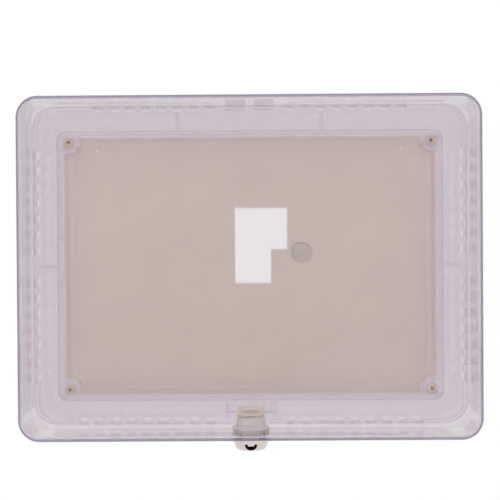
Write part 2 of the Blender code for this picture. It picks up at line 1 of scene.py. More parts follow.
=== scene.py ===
# %% [markdown]
# # A clear, lockable guard for a wall thermostat
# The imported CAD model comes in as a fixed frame: it says where every part is and what moves with it.
# Each piece made below sits in that frame, rides on one of its bodies and stands for one or more of
# its nodes, so the look can't drift away from the motion.

# %% Load the frame
import math

import bmesh
import bpy
from mathutils import Matrix, Vector


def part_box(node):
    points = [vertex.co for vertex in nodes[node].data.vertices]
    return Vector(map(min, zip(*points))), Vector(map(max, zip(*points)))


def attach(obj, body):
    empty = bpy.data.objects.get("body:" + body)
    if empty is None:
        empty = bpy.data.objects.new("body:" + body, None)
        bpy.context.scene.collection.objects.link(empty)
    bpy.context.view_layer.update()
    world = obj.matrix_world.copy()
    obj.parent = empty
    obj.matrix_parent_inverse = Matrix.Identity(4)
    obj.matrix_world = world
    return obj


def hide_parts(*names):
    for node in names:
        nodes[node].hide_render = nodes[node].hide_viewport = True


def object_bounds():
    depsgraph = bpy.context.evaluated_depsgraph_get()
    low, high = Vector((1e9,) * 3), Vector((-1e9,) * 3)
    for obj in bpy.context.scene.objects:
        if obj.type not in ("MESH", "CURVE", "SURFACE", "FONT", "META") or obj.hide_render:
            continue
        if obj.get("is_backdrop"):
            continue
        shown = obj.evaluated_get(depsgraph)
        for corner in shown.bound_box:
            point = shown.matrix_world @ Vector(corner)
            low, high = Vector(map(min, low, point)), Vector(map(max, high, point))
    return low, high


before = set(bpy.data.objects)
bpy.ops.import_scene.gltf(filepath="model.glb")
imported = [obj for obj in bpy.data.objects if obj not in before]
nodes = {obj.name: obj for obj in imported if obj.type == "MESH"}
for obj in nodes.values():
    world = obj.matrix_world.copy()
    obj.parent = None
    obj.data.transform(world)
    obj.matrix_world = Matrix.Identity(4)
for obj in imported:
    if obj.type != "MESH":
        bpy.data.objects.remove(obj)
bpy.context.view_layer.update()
scene = bpy.context.scene

# %% [markdown]
# ## Small helpers for node trees
# A finish is a tree of nodes, and wiring one by hand takes two lines a socket. These helpers make a
# node and fill its inputs in one call, so that each tree below reads as a recipe. They serve shader
# trees and Geometry Nodes trees alike.

# %% Node helpers
def add_node(tree, kind, **values):
    """Makes a node. A value that is a socket is linked, and any other value is set."""
    made = tree.nodes.new(kind)
    for key, value in values.items():
        name = key.replace("_", " ")
        if hasattr(made, key) and name not in made.inputs:
            setattr(made, key, value)
        else:
            feed(tree, made.inputs[name], value)
    return made


def feed(tree, socket, value):
    """Links a socket or sets a plain value."""
    if isinstance(value, bpy.types.NodeSocket):
        tree.links.new(value, socket)
    else:
        socket.default_value = value


def math_of(tree, operation, first, second, third=None, kind="ShaderNodeMath"):
    """One math node and its result."""
    made = tree.nodes.new(kind)
    made.operation = operation
    feed(tree, made.inputs[0], first)
    feed(tree, made.inputs[1], second)
    if third is not None:
        feed(tree, made.inputs[2], third)
    return made.outputs[0]


def mix_colours(tree, factor, first, second):
    """Mixes two colours, each of them a value or a socket."""
    made = tree.nodes.new("ShaderNodeMix")
    made.data_type = "RGBA"
    for number, value in ((0, factor), (6, first), (7, second)):
        feed(tree, made.inputs[number], value)
    return made.outputs[2]


def new_material(name, colour=(0.8, 0.8, 0.8), alpha=1.0):
    """A material with an empty tree and its output."""
    made = bpy.data.materials.new(name)
    made.use_nodes = True
    made.diffuse_color = (*colour, alpha)
    made.node_tree.nodes.clear()
    return made, made.node_tree, made.node_tree.nodes.new("ShaderNodeOutputMaterial")


def new_group(name, kind, inputs, outputs):
    """A node group with named inputs and outputs."""
    group = bpy.data.node_groups.new(name, kind)
    for label, socket_kind, default in inputs:
        socket = group.interface.new_socket(label, in_out="INPUT", socket_type=socket_kind)
        if default is not None:
            socket.default_value = default
    for label, socket_kind in outputs:
        group.interface.new_socket(label, in_out="OUTPUT", socket_type=socket_kind)
    return group, group.nodes.new("NodeGroupInput"), group.nodes.new("NodeGroupOutput")


def use_group(tree, group, **values):
    """Puts a group into a tree and sets its inputs."""
    made = tree.nodes.new("ShaderNodeGroup")
    made.node_tree = group
    for key, value in values.items():
        feed(tree, made.inputs[key.replace("_", " ")], value)
    return made


print("node helpers ready")

# %% [markdown]
# ## The room first
# Clear plastic has almost no colour of its own: what you see is the room through it and the room in
# its reflections. So the room comes first. A pale floor runs up into a wall behind the guard in one
# smooth curve, which leaves no line in the background. The sheet is see-through from its back, so a
# camera behind it still sees the guard.

# %% Floor and backdrop
FLOOR = -0.30
BACKDROP = 0.75
BEND = 0.30
HALF_ROOM = 3.0
BEND_STEPS = 12
SHEET_TOP = 2.5
FIBRE_SCALE = 60.0
rows = [(-HALF_ROOM, FLOOR)]
for i in range(BEND_STEPS + 1):
    turn = math.radians(90 * i / BEND_STEPS)
    rows.append((BACKDROP - BEND + BEND * math.sin(turn), FLOOR + BEND - BEND * math.cos(turn)))
rows.append((BACKDROP, SHEET_TOP))
sweep_mesh = bpy.data.meshes.new("sweep")
points = [(side * HALF_ROOM, y, z) for side in (-1, 1) for y, z in rows]
count = len(rows)
sweep_mesh.from_pydata(points, [], [(i, count + i, count + i + 1, i + 1) for i in range(count - 1)])
sweep = bpy.data.objects.new("sweep", sweep_mesh)
scene.collection.objects.link(sweep)
for face in sweep_mesh.polygons:
    face.use_smooth = True
paper, tree, out = new_material("paper")
fibres = add_node(tree, "ShaderNodeTexNoise", Scale=FIBRE_SCALE, Detail=3.0)
coordinates = add_node(tree, "ShaderNodeTexCoord")
tree.links.new(coordinates.outputs["Object"], fibres.inputs["Vector"])
tooth = add_node(tree, "ShaderNodeBump", Height=fibres.outputs[0], Distance=0.0002, Strength=0.3)
skin = add_node(
    tree,
    "ShaderNodeBsdfPrincipled",
    Base_Color=(0.90, 0.90, 0.90, 1.0),
    Roughness=0.8,
    Normal=tooth.outputs[0],
)
behind = add_node(tree, "ShaderNodeNewGeometry")
unseen = add_node(tree, "ShaderNodeBsdfTransparent")
one_sided = tree.nodes.new("ShaderNodeMixShader")
feed(tree, one_sided.inputs[0], behind.outputs["Backfacing"])
feed(tree, one_sided.inputs[1], skin.outputs[0])
feed(tree, one_sided.inputs[2], unseen.outputs[0])
tree.links.new(one_sided.outputs[0], out.inputs["Surface"])
sweep_mesh.materials.append(paper)
sweep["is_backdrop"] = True
print("backdrop of", len(sweep_mesh.polygons), "strips")

# %% [markdown]
# ## Soft lamps and a white sky
# Three large area lamps and an even sky light the guard from all round. Small hard lamps would put
# sharp streaks on the plastic and hide the faint lines of the ring behind it.

# %% Lamps and sky
SKY_STRENGTH = 0.85
LAMPS = (
    ("top_lamp", (0, -0.5, 1.3), 1.6, 1.2, 6),
    ("left_lamp", (-1.3, -0.9, 0.4), 1.0, 1.2, 4),
    ("right_lamp", (1.3, -0.9, 0.4), 1.0, 1.2, 4),
)
for name, place, wide, high, power in LAMPS:
    data = bpy.data.lights.new(name, "AREA")
    data.shape = "RECTANGLE"
    data.size = wide
    data.size_y = high
    data.energy = power
    lamp = bpy.data.objects.new(name, data)
    scene.collection.objects.link(lamp)
    lamp.location = place
    lamp.rotation_euler = (-Vector(place)).to_track_quat("-Z", "Y").to_euler()
room = bpy.data.worlds.new("room")
scene.world = room
room.use_nodes = True
sky = room.node_tree.nodes["Background"]
sky.inputs["Color"].default_value = (1.0, 1.0, 1.0, 1.0)
sky.inputs["Strength"].default_value = SKY_STRENGTH
scene.view_settings.view_transform = "Standard"
print(len(LAMPS), "soft lamps")

# %% [markdown]
# ## The camera
# The camera stands almost straight in front of the guard, about a metre away, with a long lens. That
# keeps the front of the deep cover from looking much larger than the base behind it.

# %% Camera
LENS = 99.7
CAMERA_PLACE = (0.0064, -0.962, 0.0203)
YAW, ROLL, PITCH = 0.390, 0.382, -0.575
camera_data = bpy.data.cameras.new("camera")
camera_data.lens = LENS
camera_data.sensor_width = 36.0
camera_data.clip_start = 0.01
camera = bpy.data.objects.new("camera", camera_data)
scene.collection.objects.link(camera)
camera.matrix_world = (
    Matrix.Translation(CAMERA_PLACE)
    @ Matrix.Rotation(math.radians(YAW), 4, "Z")
    @ Matrix.Rotation(math.radians(ROLL), 4, "Y")
    @ Matrix.Rotation(math.radians(90 + PITCH), 4, "X")
)
scene.camera = camera
print("camera", CAMERA_PLACE)

# %% [markdown]
# ## A shared grain
# Moulded and plated surfaces are never even. Gloss drifts over centimetres where the mould or the
# plating bath was uneven, and a fine grain sits on top. One group makes both from an object's own
# coordinates, so the pattern has a real size and stays on the piece when it moves.

# %% Surface grain group
FINE_SHARE = 0.3
NOISE_LOW, NOISE_HIGH = 0.3, 0.7
grain_group, gin, gout = new_group(
    "surface_grain",
    "ShaderNodeTree",
    [
        ("Patch Size", "NodeSocketFloat", 0.03),
        ("Grain Size", "NodeSocketFloat", 0.0006),
        ("Low", "NodeSocketFloat", 0.3),
        ("High", "NodeSocketFloat", 0.5),
        ("Depth", "NodeSocketFloat", 0.00002),
    ],
    [("Roughness", "NodeSocketFloat"), ("Patches", "NodeSocketFloat"), ("Normal", "NodeSocketVector")],
)
where = add_node(grain_group, "ShaderNodeTexCoord").outputs["Object"]
patch_scale = math_of(grain_group, "DIVIDE", 1.0, gin.outputs["Patch Size"])
grain_scale = math_of(grain_group, "DIVIDE", 1.0, gin.outputs["Grain Size"])
patches = add_node(grain_group, "ShaderNodeTexNoise", Vector=where, Scale=patch_scale, Detail=3.0).outputs[0]
fine = add_node(grain_group, "ShaderNodeTexNoise", Vector=where, Scale=grain_scale, Detail=2.0).outputs[0]
fine_part = math_of(grain_group, "MULTIPLY", fine, FINE_SHARE)
blend = math_of(grain_group, "MULTIPLY_ADD", patches, 1 - FINE_SHARE, fine_part)
spread = add_node(
    grain_group,
    "ShaderNodeMapRange",
    Value=blend,
    From_Min=NOISE_LOW,
    From_Max=NOISE_HIGH,
    To_Min=gin.outputs["Low"],
    To_Max=gin.outputs["High"],
)
bump = add_node(grain_group, "ShaderNodeBump", Height=fine, Distance=gin.outputs["Depth"], Strength=1.0)
grain_group.links.new(spread.outputs["Result"], gout.inputs["Roughness"])
grain_group.links.new(patches, gout.inputs["Patches"])
grain_group.links.new(bump.outputs["Normal"], gout.inputs["Normal"])
print("group", grain_group.name, "with", len(grain_group.nodes), "nodes")

# %% [markdown]
# ## Worn edges
# Handling polishes the corners of metal and scuffs the corners of plastic. Pointiness is high on a
# convex edge, and a noise breaks the line up so that the wear comes and goes along the edge.

# %% Edge wear group
WEAR_START, WEAR_FULL = 0.52, 0.62
wear_group, gin, gout = new_group(
    "edge_wear",
    "ShaderNodeTree",
    [("Break Up Size", "NodeSocketFloat", 0.004), ("Amount", "NodeSocketFloat", 0.5)],
    [("Mask", "NodeSocketFloat")],
)
edge = add_node(wear_group, "ShaderNodeNewGeometry").outputs["Pointiness"]
edge_line = add_node(
    wear_group,
    "ShaderNodeMapRange",
    Value=edge,
    From_Min=WEAR_START,
    From_Max=WEAR_FULL,
    To_Min=0.0,
    To_Max=1.0,
)
break_scale = math_of(wear_group, "DIVIDE", 1.0, gin.outputs["Break Up Size"])
where = add_node(wear_group, "ShaderNodeTexCoord").outputs["Object"]
broken = add_node(wear_group, "ShaderNodeTexNoise", Vector=where, Scale=break_scale, Detail=4.0).outputs[0]
mask = math_of(wear_group, "MULTIPLY", edge_line.outputs["Result"], broken)
mask = math_of(wear_group, "MULTIPLY", mask, gin.outputs["Amount"])
wear_group.links.new(mask, gout.inputs["Mask"])
print("group", wear_group.name, "with", len(wear_group.nodes), "nodes")

# %% [markdown]
# ## Clear plastic
# The cover and the ring base are clear moulded plastic with a faint lavender cast. A Principled
# shader with full transmission bends light like the real thing (IOR 1.58). Part of the surface is a
# plain tinted window instead: light that runs the length of a thin wall bounces many times, and
# without that share the rims would go black where the real ones glow a soft violet. Shadow rays see
# only the window, because light focused by glass takes very long to settle.

# %% Clear plastic recipe
PLASTIC_IOR = 1.58
EDGE_FALL = 3.0


def painted_rim_mask(tree, rise, fall):
    """Where a painted rim band goes: rises and falls with how far the surface has turned from a side to the
    front.
    """
    place = add_node(tree, "ShaderNodeTexCoord")
    parts = add_node(tree, "ShaderNodeSeparateXYZ", Vector=place.outputs["Normal"])
    front = math_of(tree, "ABSOLUTE", parts.outputs["Y"], 0.0)
    steps = []
    for start, end, low, high in ((*rise, 0.0, 1.0), (*fall, 1.0, 0.0)):
        step = add_node(tree, "ShaderNodeMapRange", interpolation_type="SMOOTHSTEP", Value=front)
        for socket, value in zip(step.inputs[1:5], (start, end, low, high)):
            socket.default_value = value
        steps.append(step.outputs[0])
    return math_of(tree, "MULTIPLY", *steps)


def clear_plastic(
    name, tint, edge_tint, low, high, window_share, strength=0.0, haze=0.0, painted_rims=()
):
    """Clear plastic: bent light mixed with a plain window that deepens where a wall is seen edge on, and
    painted rim bands of shade and highlight where given.
    """
    made, tree, out = new_material(name, tint, 0.35)
    grain = use_group(
        tree, grain_group, Patch_Size=0.05, Grain_Size=0.004, Low=low, High=high, Depth=0.000004
    )
    glass = add_node(
        tree,
        "ShaderNodeBsdfPrincipled",
        Base_Color=(*tint, 1.0),
        Roughness=grain.outputs["Roughness"],
        Normal=grain.outputs["Normal"],
        IOR=PLASTIC_IOR,
        Transmission_Weight=1.0 - haze,
    )
    view = add_node(tree, "ShaderNodeLayerWeight", Blend=0.5)
    edge_on = math_of(tree, "POWER", view.outputs["Facing"], EDGE_FALL)
    thin = [math.sqrt(c) for c in tint]
    clear = mix_colours(tree, edge_on, (*thin, 1.0), (*edge_tint, 1.0))
    body = (*tint, 1.0)
    for colour, rise, fall in painted_rims:
        # Each rim band paints shade or highlight into both colours.
        on_painted_rim = painted_rim_mask(tree, rise, fall)
        body = mix_colours(tree, on_painted_rim, body, (*colour, 1.0))
        clear = mix_colours(tree, on_painted_rim, clear, (*colour, 1.0))
    feed(tree, glass.inputs["Base Color"], body)
    through = add_node(tree, "ShaderNodeBsdfTransparent", Color=clear)
    path = add_node(tree, "ShaderNodeLightPath")
    share = math_of(tree, "MAXIMUM", path.outputs["Is Shadow Ray"], window_share)
    mix = tree.nodes.new("ShaderNodeMixShader")
    feed(tree, mix.inputs[0], share)
    feed(tree, mix.inputs[1], glass.outputs[0])
    feed(tree, mix.inputs[2], through.outputs[0])
    tree.links.new(mix.outputs[0], out.inputs["Surface"])
    if strength:
        inside = add_node(tree, "ShaderNodeVolumeAbsorption", Color=(*LAVENDER, 1.0), Density=strength)
        tree.links.new(inside.outputs[0], out.inputs["Volume"])
    return made


# %% [markdown]
# ## Six clear plastics
# The cover's rounded rim gets a painted dark violet line of shade with a painted bright highlight line
# inside it, so its finish knows how far the surface has turned to the front. Only the cover soaks up
# light inside: a body with several finishes must not, because a ray that enters by one and leaves by
# another never stops darkening. The ring has the other five finishes: walls, floor, wall tops, lips
# with a painted highlight and frosted corner tabs.

# %% Clear plastics
LAVENDER = (0.50, 0.425, 0.625)
# Painted shade and painted highlight: the dark line and the bright band that bent light makes at the cover's
# rounded rim.
RIM_PAINTED_SHADE = ((0.52, 0.47, 0.58), (0.04, 0.18), (0.70, 0.92))
RIM_PAINTED_HIGHLIGHT = ((1.0, 0.98, 1.0), (0.86, 0.96), (0.988, 0.9998))
cover_plastic = clear_plastic(
    "cover_plastic", (0.815, 0.78, 0.785), (0.87, 0.81, 0.90), 0.015, 0.05, 0.17, 14.0,
    painted_rims=(RIM_PAINTED_SHADE, RIM_PAINTED_HIGHLIGHT),
)
base_plastic = clear_plastic(
    "base_plastic", (0.96, 0.93, 0.965), (0.78, 0.70, 0.84), 0.02, 0.07, 0.50
)
floor_plastic = clear_plastic(
    "floor_plastic", (0.72, 0.675, 0.735), (0.90, 0.85, 0.93), 0.08, 0.16, 0.50
)
wall_top_plastic = clear_plastic(
    "wall_top_plastic", (0.60, 0.52, 0.62), (0.86, 0.80, 0.90), 0.04, 0.10, 0.50
)
tab_plastic = clear_plastic(
    "tab_plastic", (1.0, 0.96, 1.0), (1.0, 0.97, 1.0), 0.10, 0.20, 0.30, haze=1.0
)
# Painted highlight: a clearer, brighter copy of the ring's plastic for the rounded lips of the wall tops.
lip_highlight_plastic = clear_plastic(
    "lip_highlight_plastic", (1.0, 0.99, 1.0), (1.0, 0.99, 1.0), 0.05, 0.12, 0.90
)
print("clear plastics", cover_plastic.name, base_plastic.name, floor_plastic.name)

# %% [markdown]
# ## Opaque plastic and plated metal
# The wall plate is beige plastic with a fine moulded grain. The lock is bright nickel, its cam has a
# tan chromate plating and the screws are yellow zinc. One recipe serves them all: two close tones
# drift into each other in soft clouds, and worn edges are paler.

# %% Opaque finish recipe
WORN_PALER = 1.35


def solid_finish(name, colour, low, high, metallic, patch, grain_size, depth, tone, wear):
    """A solid finish whose colour and gloss drift, with worn edges."""
    made, tree, out = new_material(name, colour)
    grain = use_group(
        tree, grain_group, Patch_Size=patch, Grain_Size=grain_size, Low=low, High=high, Depth=depth
    )
    worn = use_group(tree, wear_group, Break_Up_Size=patch / 3, Amount=wear)
    tones = [[min(1.0, c * share) for c in colour] for share in (1 - tone, 1 + tone, WORN_PALER)]
    dark, light, pale = [(*shade, 1.0) for shade in tones]
    clouds = mix_colours(tree, grain.outputs["Patches"], dark, light)
    skin = add_node(
        tree,
        "ShaderNodeBsdfPrincipled",
        Base_Color=mix_colours(tree, worn.outputs["Mask"], clouds, pale),
        Roughness=grain.outputs["Roughness"],
        Normal=grain.outputs["Normal"],
        Metallic=metallic,
        IOR=1.5,
    )
    tree.links.new(skin.outputs[0], out.inputs["Surface"])
    return made


# %% [markdown]
# ## The finishes
# Each line holds a colour, the lowest and highest roughness, how metallic it is, the size of its
# clouds, the size and depth of its grain, how far the tones drift and how worn the edges are.

# %% Finishes
FINISHES = {
    "plate_plastic": ((0.850, 0.768, 0.674), 0.45, 0.62, 0.0, 0.04, 0.0007, 0.00003, 0.05, 0.0),
    # Painted shade: the knockout's dish, darker for the shade in its recess.
    "knockout_painted_shade": ((0.72, 0.655, 0.595), 0.45, 0.62, 0.0, 0.01, 0.0007, 0.00003, 0.10, 0.0),
    "bright_nickel": ((0.66, 0.60, 0.565), 0.14, 0.28, 1.0, 0.006, 0.0004, 0.000006, 0.12, 0.7),
    "barrel_nickel": ((1.0, 0.95, 0.92), 0.28, 0.42, 0.85, 0.006, 0.0004, 0.000006, 0.10, 0.7),
    "cam_plating": ((1.0, 0.82, 0.64), 0.26, 0.42, 0.2, 0.008, 0.0004, 0.000008, 0.14, 0.8),
    "yellow_zinc": ((0.80, 0.66, 0.47), 0.30, 0.46, 0.6, 0.003, 0.0004, 0.000006, 0.18, 0.8),
    "spring_steel": ((0.62, 0.57, 0.55), 0.25, 0.40, 0.6, 0.006, 0.0004, 0.000006, 0.12, 0.7),
    "stamped_brass": ((0.72, 0.52, 0.22), 0.25, 0.40, 1.0, 0.004, 0.0004, 0.000006, 0.12, 0.7),
    "recess_shadow": ((0.060, 0.030, 0.014), 0.50, 0.70, 0.0, 0.003, 0.0004, 0.000010, 0.25, 0.1),
    # Painted highlight: pale spots on the pilot marks.
    "pilot_mark_highlight": ((0.97, 0.90, 0.85), 0.40, 0.55, 0.0, 0.004, 0.0005, 0.000010, 0.05, 0.1),
    # Painted shade: near black inside the key's mouth, which lies deep in shade.
    "keyhole_painted_shade": ((0.006, 0.005, 0.005), 0.45, 0.60, 0.0, 0.003, 0.0004, 0.000010, 0.25, 0.1),
}
finish = {name: solid_finish(name, *values) for name, values in FINISHES.items()}
print(len(finish), "solid finishes")

# %% [markdown]
# ## Shapes made by hand
# The pieces below start from three simple makers: a box with rounded edges, a round bar and a turned
# body whose outline spins round an axis. Boolean modifiers then add or take away, and each result is
# settled into a plain mesh that sits at the origin, as every node of the frame does.

# %% Shape makers
def put(name, shape):
    """Turns a finished bmesh into an object at the origin."""
    bmesh.ops.recalc_face_normals(shape, faces=shape.faces)
    mesh = bpy.data.meshes.new(name)
    shape.to_mesh(mesh)
    shape.free()
    made = bpy.data.objects.new(name, mesh)
    scene.collection.objects.link(made)
    return made


def box_shape(low, high):
    """A box between two corners."""
    low, high = Vector(low), Vector(high)
    shape = bmesh.new()
    place = Matrix.Translation((low + high) / 2) @ Matrix.Diagonal((*(high - low), 1.0))
    bmesh.ops.create_cube(shape, size=1.0, matrix=place)
    return shape


def soften(shape, edges, radius, segments):
    """Rounds the given edges."""
    how = {"profile": 0.5, "affect": "EDGES", "clamp_overlap": True}
    bmesh.ops.bevel(shape, geom=edges, offset=radius, segments=segments, **how)


def along(shape, axis):
    """The edges that run along one axis."""
    runs = [(e, (e.verts[0].co - e.verts[1].co).normalized()) for e in shape.edges]
    return [e for e, run in runs if abs(run[axis]) > 0.9]


def box(name, low, high, radius=0.0, axis=1, segments=6):
    """A box whose edges along one axis may be rounded."""
    shape = box_shape(low, high)
    if radius:
        soften(shape, along(shape, axis), radius, segments)
    return put(name, shape)


def bar(name, radius, start, end, sides=32, turn=0.0):
    """A round bar between two points."""
    start, end = Vector(start), Vector(end)
    aim = (end - start).to_track_quat("Z", "Y").to_matrix().to_4x4()
    place = Matrix.Translation((start + end) / 2) @ aim @ Matrix.Rotation(turn, 4, "Z")
    shape = bmesh.new()
    ends = {"radius1": radius, "radius2": radius, "depth": (end - start).length}
    bmesh.ops.create_cone(shape, cap_ends=True, segments=sides, matrix=place, **ends)
    return put(name, shape)


def turned_shape(outline, centre, steps=48, closed=False):
    """A turned body: the outline holds (radius, height) pairs and spins round Z."""
    shape = bmesh.new()
    rings = []
    for radius, height in outline:
        ring = []
        for k in range(1 if radius == 0 else steps):
            angle = 2 * math.pi * k / steps
            spot = Vector((radius * math.cos(angle), radius * math.sin(angle), height))
            ring.append(shape.verts.new(spot + Vector(centre)))
        rings.append(ring)
    pairs = list(zip(rings, rings[1:] + rings[:1]))
    for one, two in pairs if closed else pairs[:-1]:
        for k in range(steps):
            corners = [one[k % len(one)], one[(k + 1) % len(one)]]
            corners += [two[(k + 1) % len(two)], two[k % len(two)]]
            corners = list(dict.fromkeys(corners))
            if len(corners) > 2:
                shape.faces.new(corners)
    return shape


# %% [markdown]
# ## Joining, settling and hanging a piece
# A Boolean is exact where two bodies cross, which is what moulded walls and drilled holes need. Each
# result is settled at once into a plain mesh. Dressing a piece shades it, gives it its finishes, hangs
# it on the body it rides on and hides the nodes it stands for.

# %% Finishing steps
def carve(target, *others, how="DIFFERENCE"):
    """Booleans one or more shapes into a target and settles it."""
    for other in others:
        step = target.modifiers.new("carve", "BOOLEAN")
        step.operation = how
        step.solver = "EXACT"
        step.object = other
    settle(target)
    for other in others:
        bpy.data.objects.remove(other, do_unlink=True)
    return target


def settle(target):
    """Turns the modifiers' result into the object's own plain mesh."""
    bpy.context.view_layer.update()
    graph = bpy.context.evaluated_depsgraph_get()
    mesh = bpy.data.meshes.new_from_object(target.evaluated_get(graph))
    target.modifiers.clear()
    target.data = mesh
    return target


def merge(target, distance=0.000005):
    """Merges doubled corners."""
    shape = bmesh.new()
    shape.from_mesh(target.data)
    bmesh.ops.remove_doubles(shape, verts=shape.verts, dist=distance)
    bmesh.ops.dissolve_degenerate(shape, edges=shape.edges, dist=distance)
    shape.to_mesh(target.data)
    shape.free()


def dress(piece, body, slot, replaced, *materials, angle=30, flat_above=None):
    """Shades a piece, gives it its finish and hangs it on the frame."""
    piece.data.materials.clear()
    for material in materials:
        piece.data.materials.append(material)
    for face in piece.data.polygons:
        face.use_smooth = flat_above is None or face.area < flat_above
    piece.data.set_sharp_from_angle(angle=math.radians(angle))
    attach(piece, body)
    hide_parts(*replaced)
    triangles = sum(len(face.vertices) - 2 for face in piece.data.polygons)
    print("piece", piece.name, "on", body, "with", triangles, "triangles")
    return piece


print("shape makers and finishing steps ready")

# %% [markdown]
# ## The clear cover
# The cover is a deep moulded box, open at the back. Its walls lean out a little towards the wall so
# that it leaves the mould, and its front edge is a soft quarter round. It starts as a solid block: the
# leaning sides come from moving the front corners in, bevels round it, the back face goes and
# Solidify gives the wall. The fine bevels matter here, because clear plastic shows every facet.

# %% Cover shell
COVER_WIDTH = 0.2985
COVER_HEIGHT = 0.2220
COVER_DEPTH = 0.0790
COVER_BACK = 0.0030
COVER_WALL = 0.0025
COVER_CORNER = 0.0140
COVER_EDGE = 0.0035
LEAN = math.tan(math.radians(1.5))


def cover_half(size, from_wall):
    """Half the cover's outer size at a distance from the wall."""
    return size / 2 + (COVER_DEPTH - from_wall) * LEAN


back_x = cover_half(COVER_WIDTH, COVER_BACK)
back_z = cover_half(COVER_HEIGHT, COVER_BACK)
shell = box_shape((-back_x, -COVER_DEPTH, -back_z), (back_x, -COVER_BACK, back_z))
for corner in shell.verts:
    if corner.co.y < -COVER_DEPTH / 2:
        corner.co.x = math.copysign(COVER_WIDTH / 2, corner.co.x)
        corner.co.z = math.copysign(COVER_HEIGHT / 2, corner.co.z)
soften(shell, along(shell, 1), COVER_CORNER, 16)
front_edge = [e for e in shell.edges if all(abs(v.co.y + COVER_DEPTH) < 1e-5 for v in e.verts)]
soften(shell, front_edge, COVER_EDGE, 9)
back = [f for f in shell.faces if all(abs(v.co.y + COVER_BACK) < 1e-5 for v in f.verts)]
bmesh.ops.delete(shell, geom=back, context="FACES_ONLY")
cover = put("clear_cover", shell)
skin = cover.modifiers.new("wall", "SOLIDIFY")
skin.thickness = COVER_WALL
skin.offset = -1.0
skin.use_even_offset = True
settle(cover)
print("cover shell", len(cover.data.polygons), "faces")

# %% [markdown]
# ## What the cover needs at its top and bottom
# Two short hooks hang from the inside of the top wall and catch in the ring base. The hole for the
# lock goes through the bottom wall. It has two flat sides so that the lock can't turn in it.

# %% Cover hooks and lock hole
LOCK_Y = -0.0450
BARREL_RADIUS = 0.0095
BARREL_FLAT = 0.0082
THREAD_ROOM = 0.0004
HOOK = {"inner": 0.0030, "outer": 0.0165, "back": -0.0037, "front": -0.0054, "reach": 0.0032}
top_inside = back_z - COVER_WALL
hooks = []
for side in (-1, 1):
    left, right = sorted((side * HOOK["inner"], side * HOOK["outer"]))
    low = (left, HOOK["front"], top_inside - 0.0003 - HOOK["reach"])
    high = (right, HOOK["back"], top_inside + COVER_WALL / 2)
    hooks.append(box("hook", low, high, 0.0005, axis=0, segments=2))
carve(cover, *hooks, how="UNION")
bore = BARREL_RADIUS + THREAD_ROOM
hole = bar("lock_hole", bore, (0, LOCK_Y, -0.13), (0, LOCK_Y, -0.09), sides=48)
flat = BARREL_FLAT + THREAD_ROOM
sides = box("lock_hole_sides", (-0.02, LOCK_Y - flat, -0.14), (0.02, LOCK_Y + flat, -0.08))
carve(cover, carve(hole, sides, how="INTERSECT"))
merge(cover)
dress(cover, "cover", "clear_plastic", ["cover"], cover_plastic, flat_above=0.00004)

# %% [markdown]
# ## The ring base
# The ring is a shallow moulded tray with a window in its middle. A tall outer wall centres the cover,
# a low inner wall goes round the window, thin ribs join the two, and four rounded tabs reach over the
# corners of the wall plate. Booleans suit it, because it is all straight walls that meet.

# %% Ring tray and walls
ring_low, ring_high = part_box("ring_base")
plate_low, plate_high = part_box("wall_plate")
RING_DEPTH = -ring_low[1]
RING_WALL = 0.0026
RING_FLOOR = 0.0025
RING_CORNER = 0.0150
LIP_ROUND = 0.0006
INNER_WALL = 0.0032
INNER_DEPTH = 0.0120
INNER_CORNER = 0.0030
FIT = 0.0003
OVER = 0.001
window_x = plate_high[0] + FIT
window_z = plate_high[2] + FIT
ring = box("slotted_ring", ring_low, ring_high, RING_CORNER, segments=12)
tray = box(
    "tray",
    (ring_low[0] + RING_WALL, -RING_DEPTH - OVER, ring_low[2] + RING_WALL),
    (ring_high[0] - RING_WALL, -RING_FLOOR, ring_high[2] - RING_WALL),
    RING_CORNER - RING_WALL,
    segments=12,
)
carve(ring, tray)
lip = bmesh.new()
lip.from_mesh(ring.data)
bmesh.ops.remove_doubles(lip, verts=lip.verts, dist=0.000005)
bmesh.ops.dissolve_limit(lip, angle_limit=math.radians(1), verts=lip.verts, edges=lip.edges)
lip_edges = [
    e
    for e in lip.edges
    if all(v.co.y < -RING_DEPTH + 1e-5 for v in e.verts)
    and any(any(v.co.y > -RING_DEPTH + 1e-4 for v in f.verts) for f in e.link_faces)
]
soften(lip, lip_edges, LIP_ROUND, 3)
lip.to_mesh(ring.data)
lip.free()
inner = box(
    "inner_wall",
    (-window_x - INNER_WALL, -INNER_DEPTH, -window_z - INNER_WALL),
    (window_x + INNER_WALL, -RING_FLOOR / 2, window_z + INNER_WALL),
    INNER_CORNER + INNER_WALL,
)
window = box(
    "window", (-window_x, -RING_DEPTH - OVER, -window_z), (window_x, OVER, window_z), INNER_CORNER
)
carve(ring, inner, how="UNION")
carve(ring, window)
print("ring tray", len(ring.data.polygons), "faces")

# %% [markdown]
# ## Ribs, pads and tabs
# Six thin ribs stiffen the channel, four low pads lie near its corners, and a shelf at the bottom is
# the catch for the cam. The tabs that hold the plate have one large round corner each.

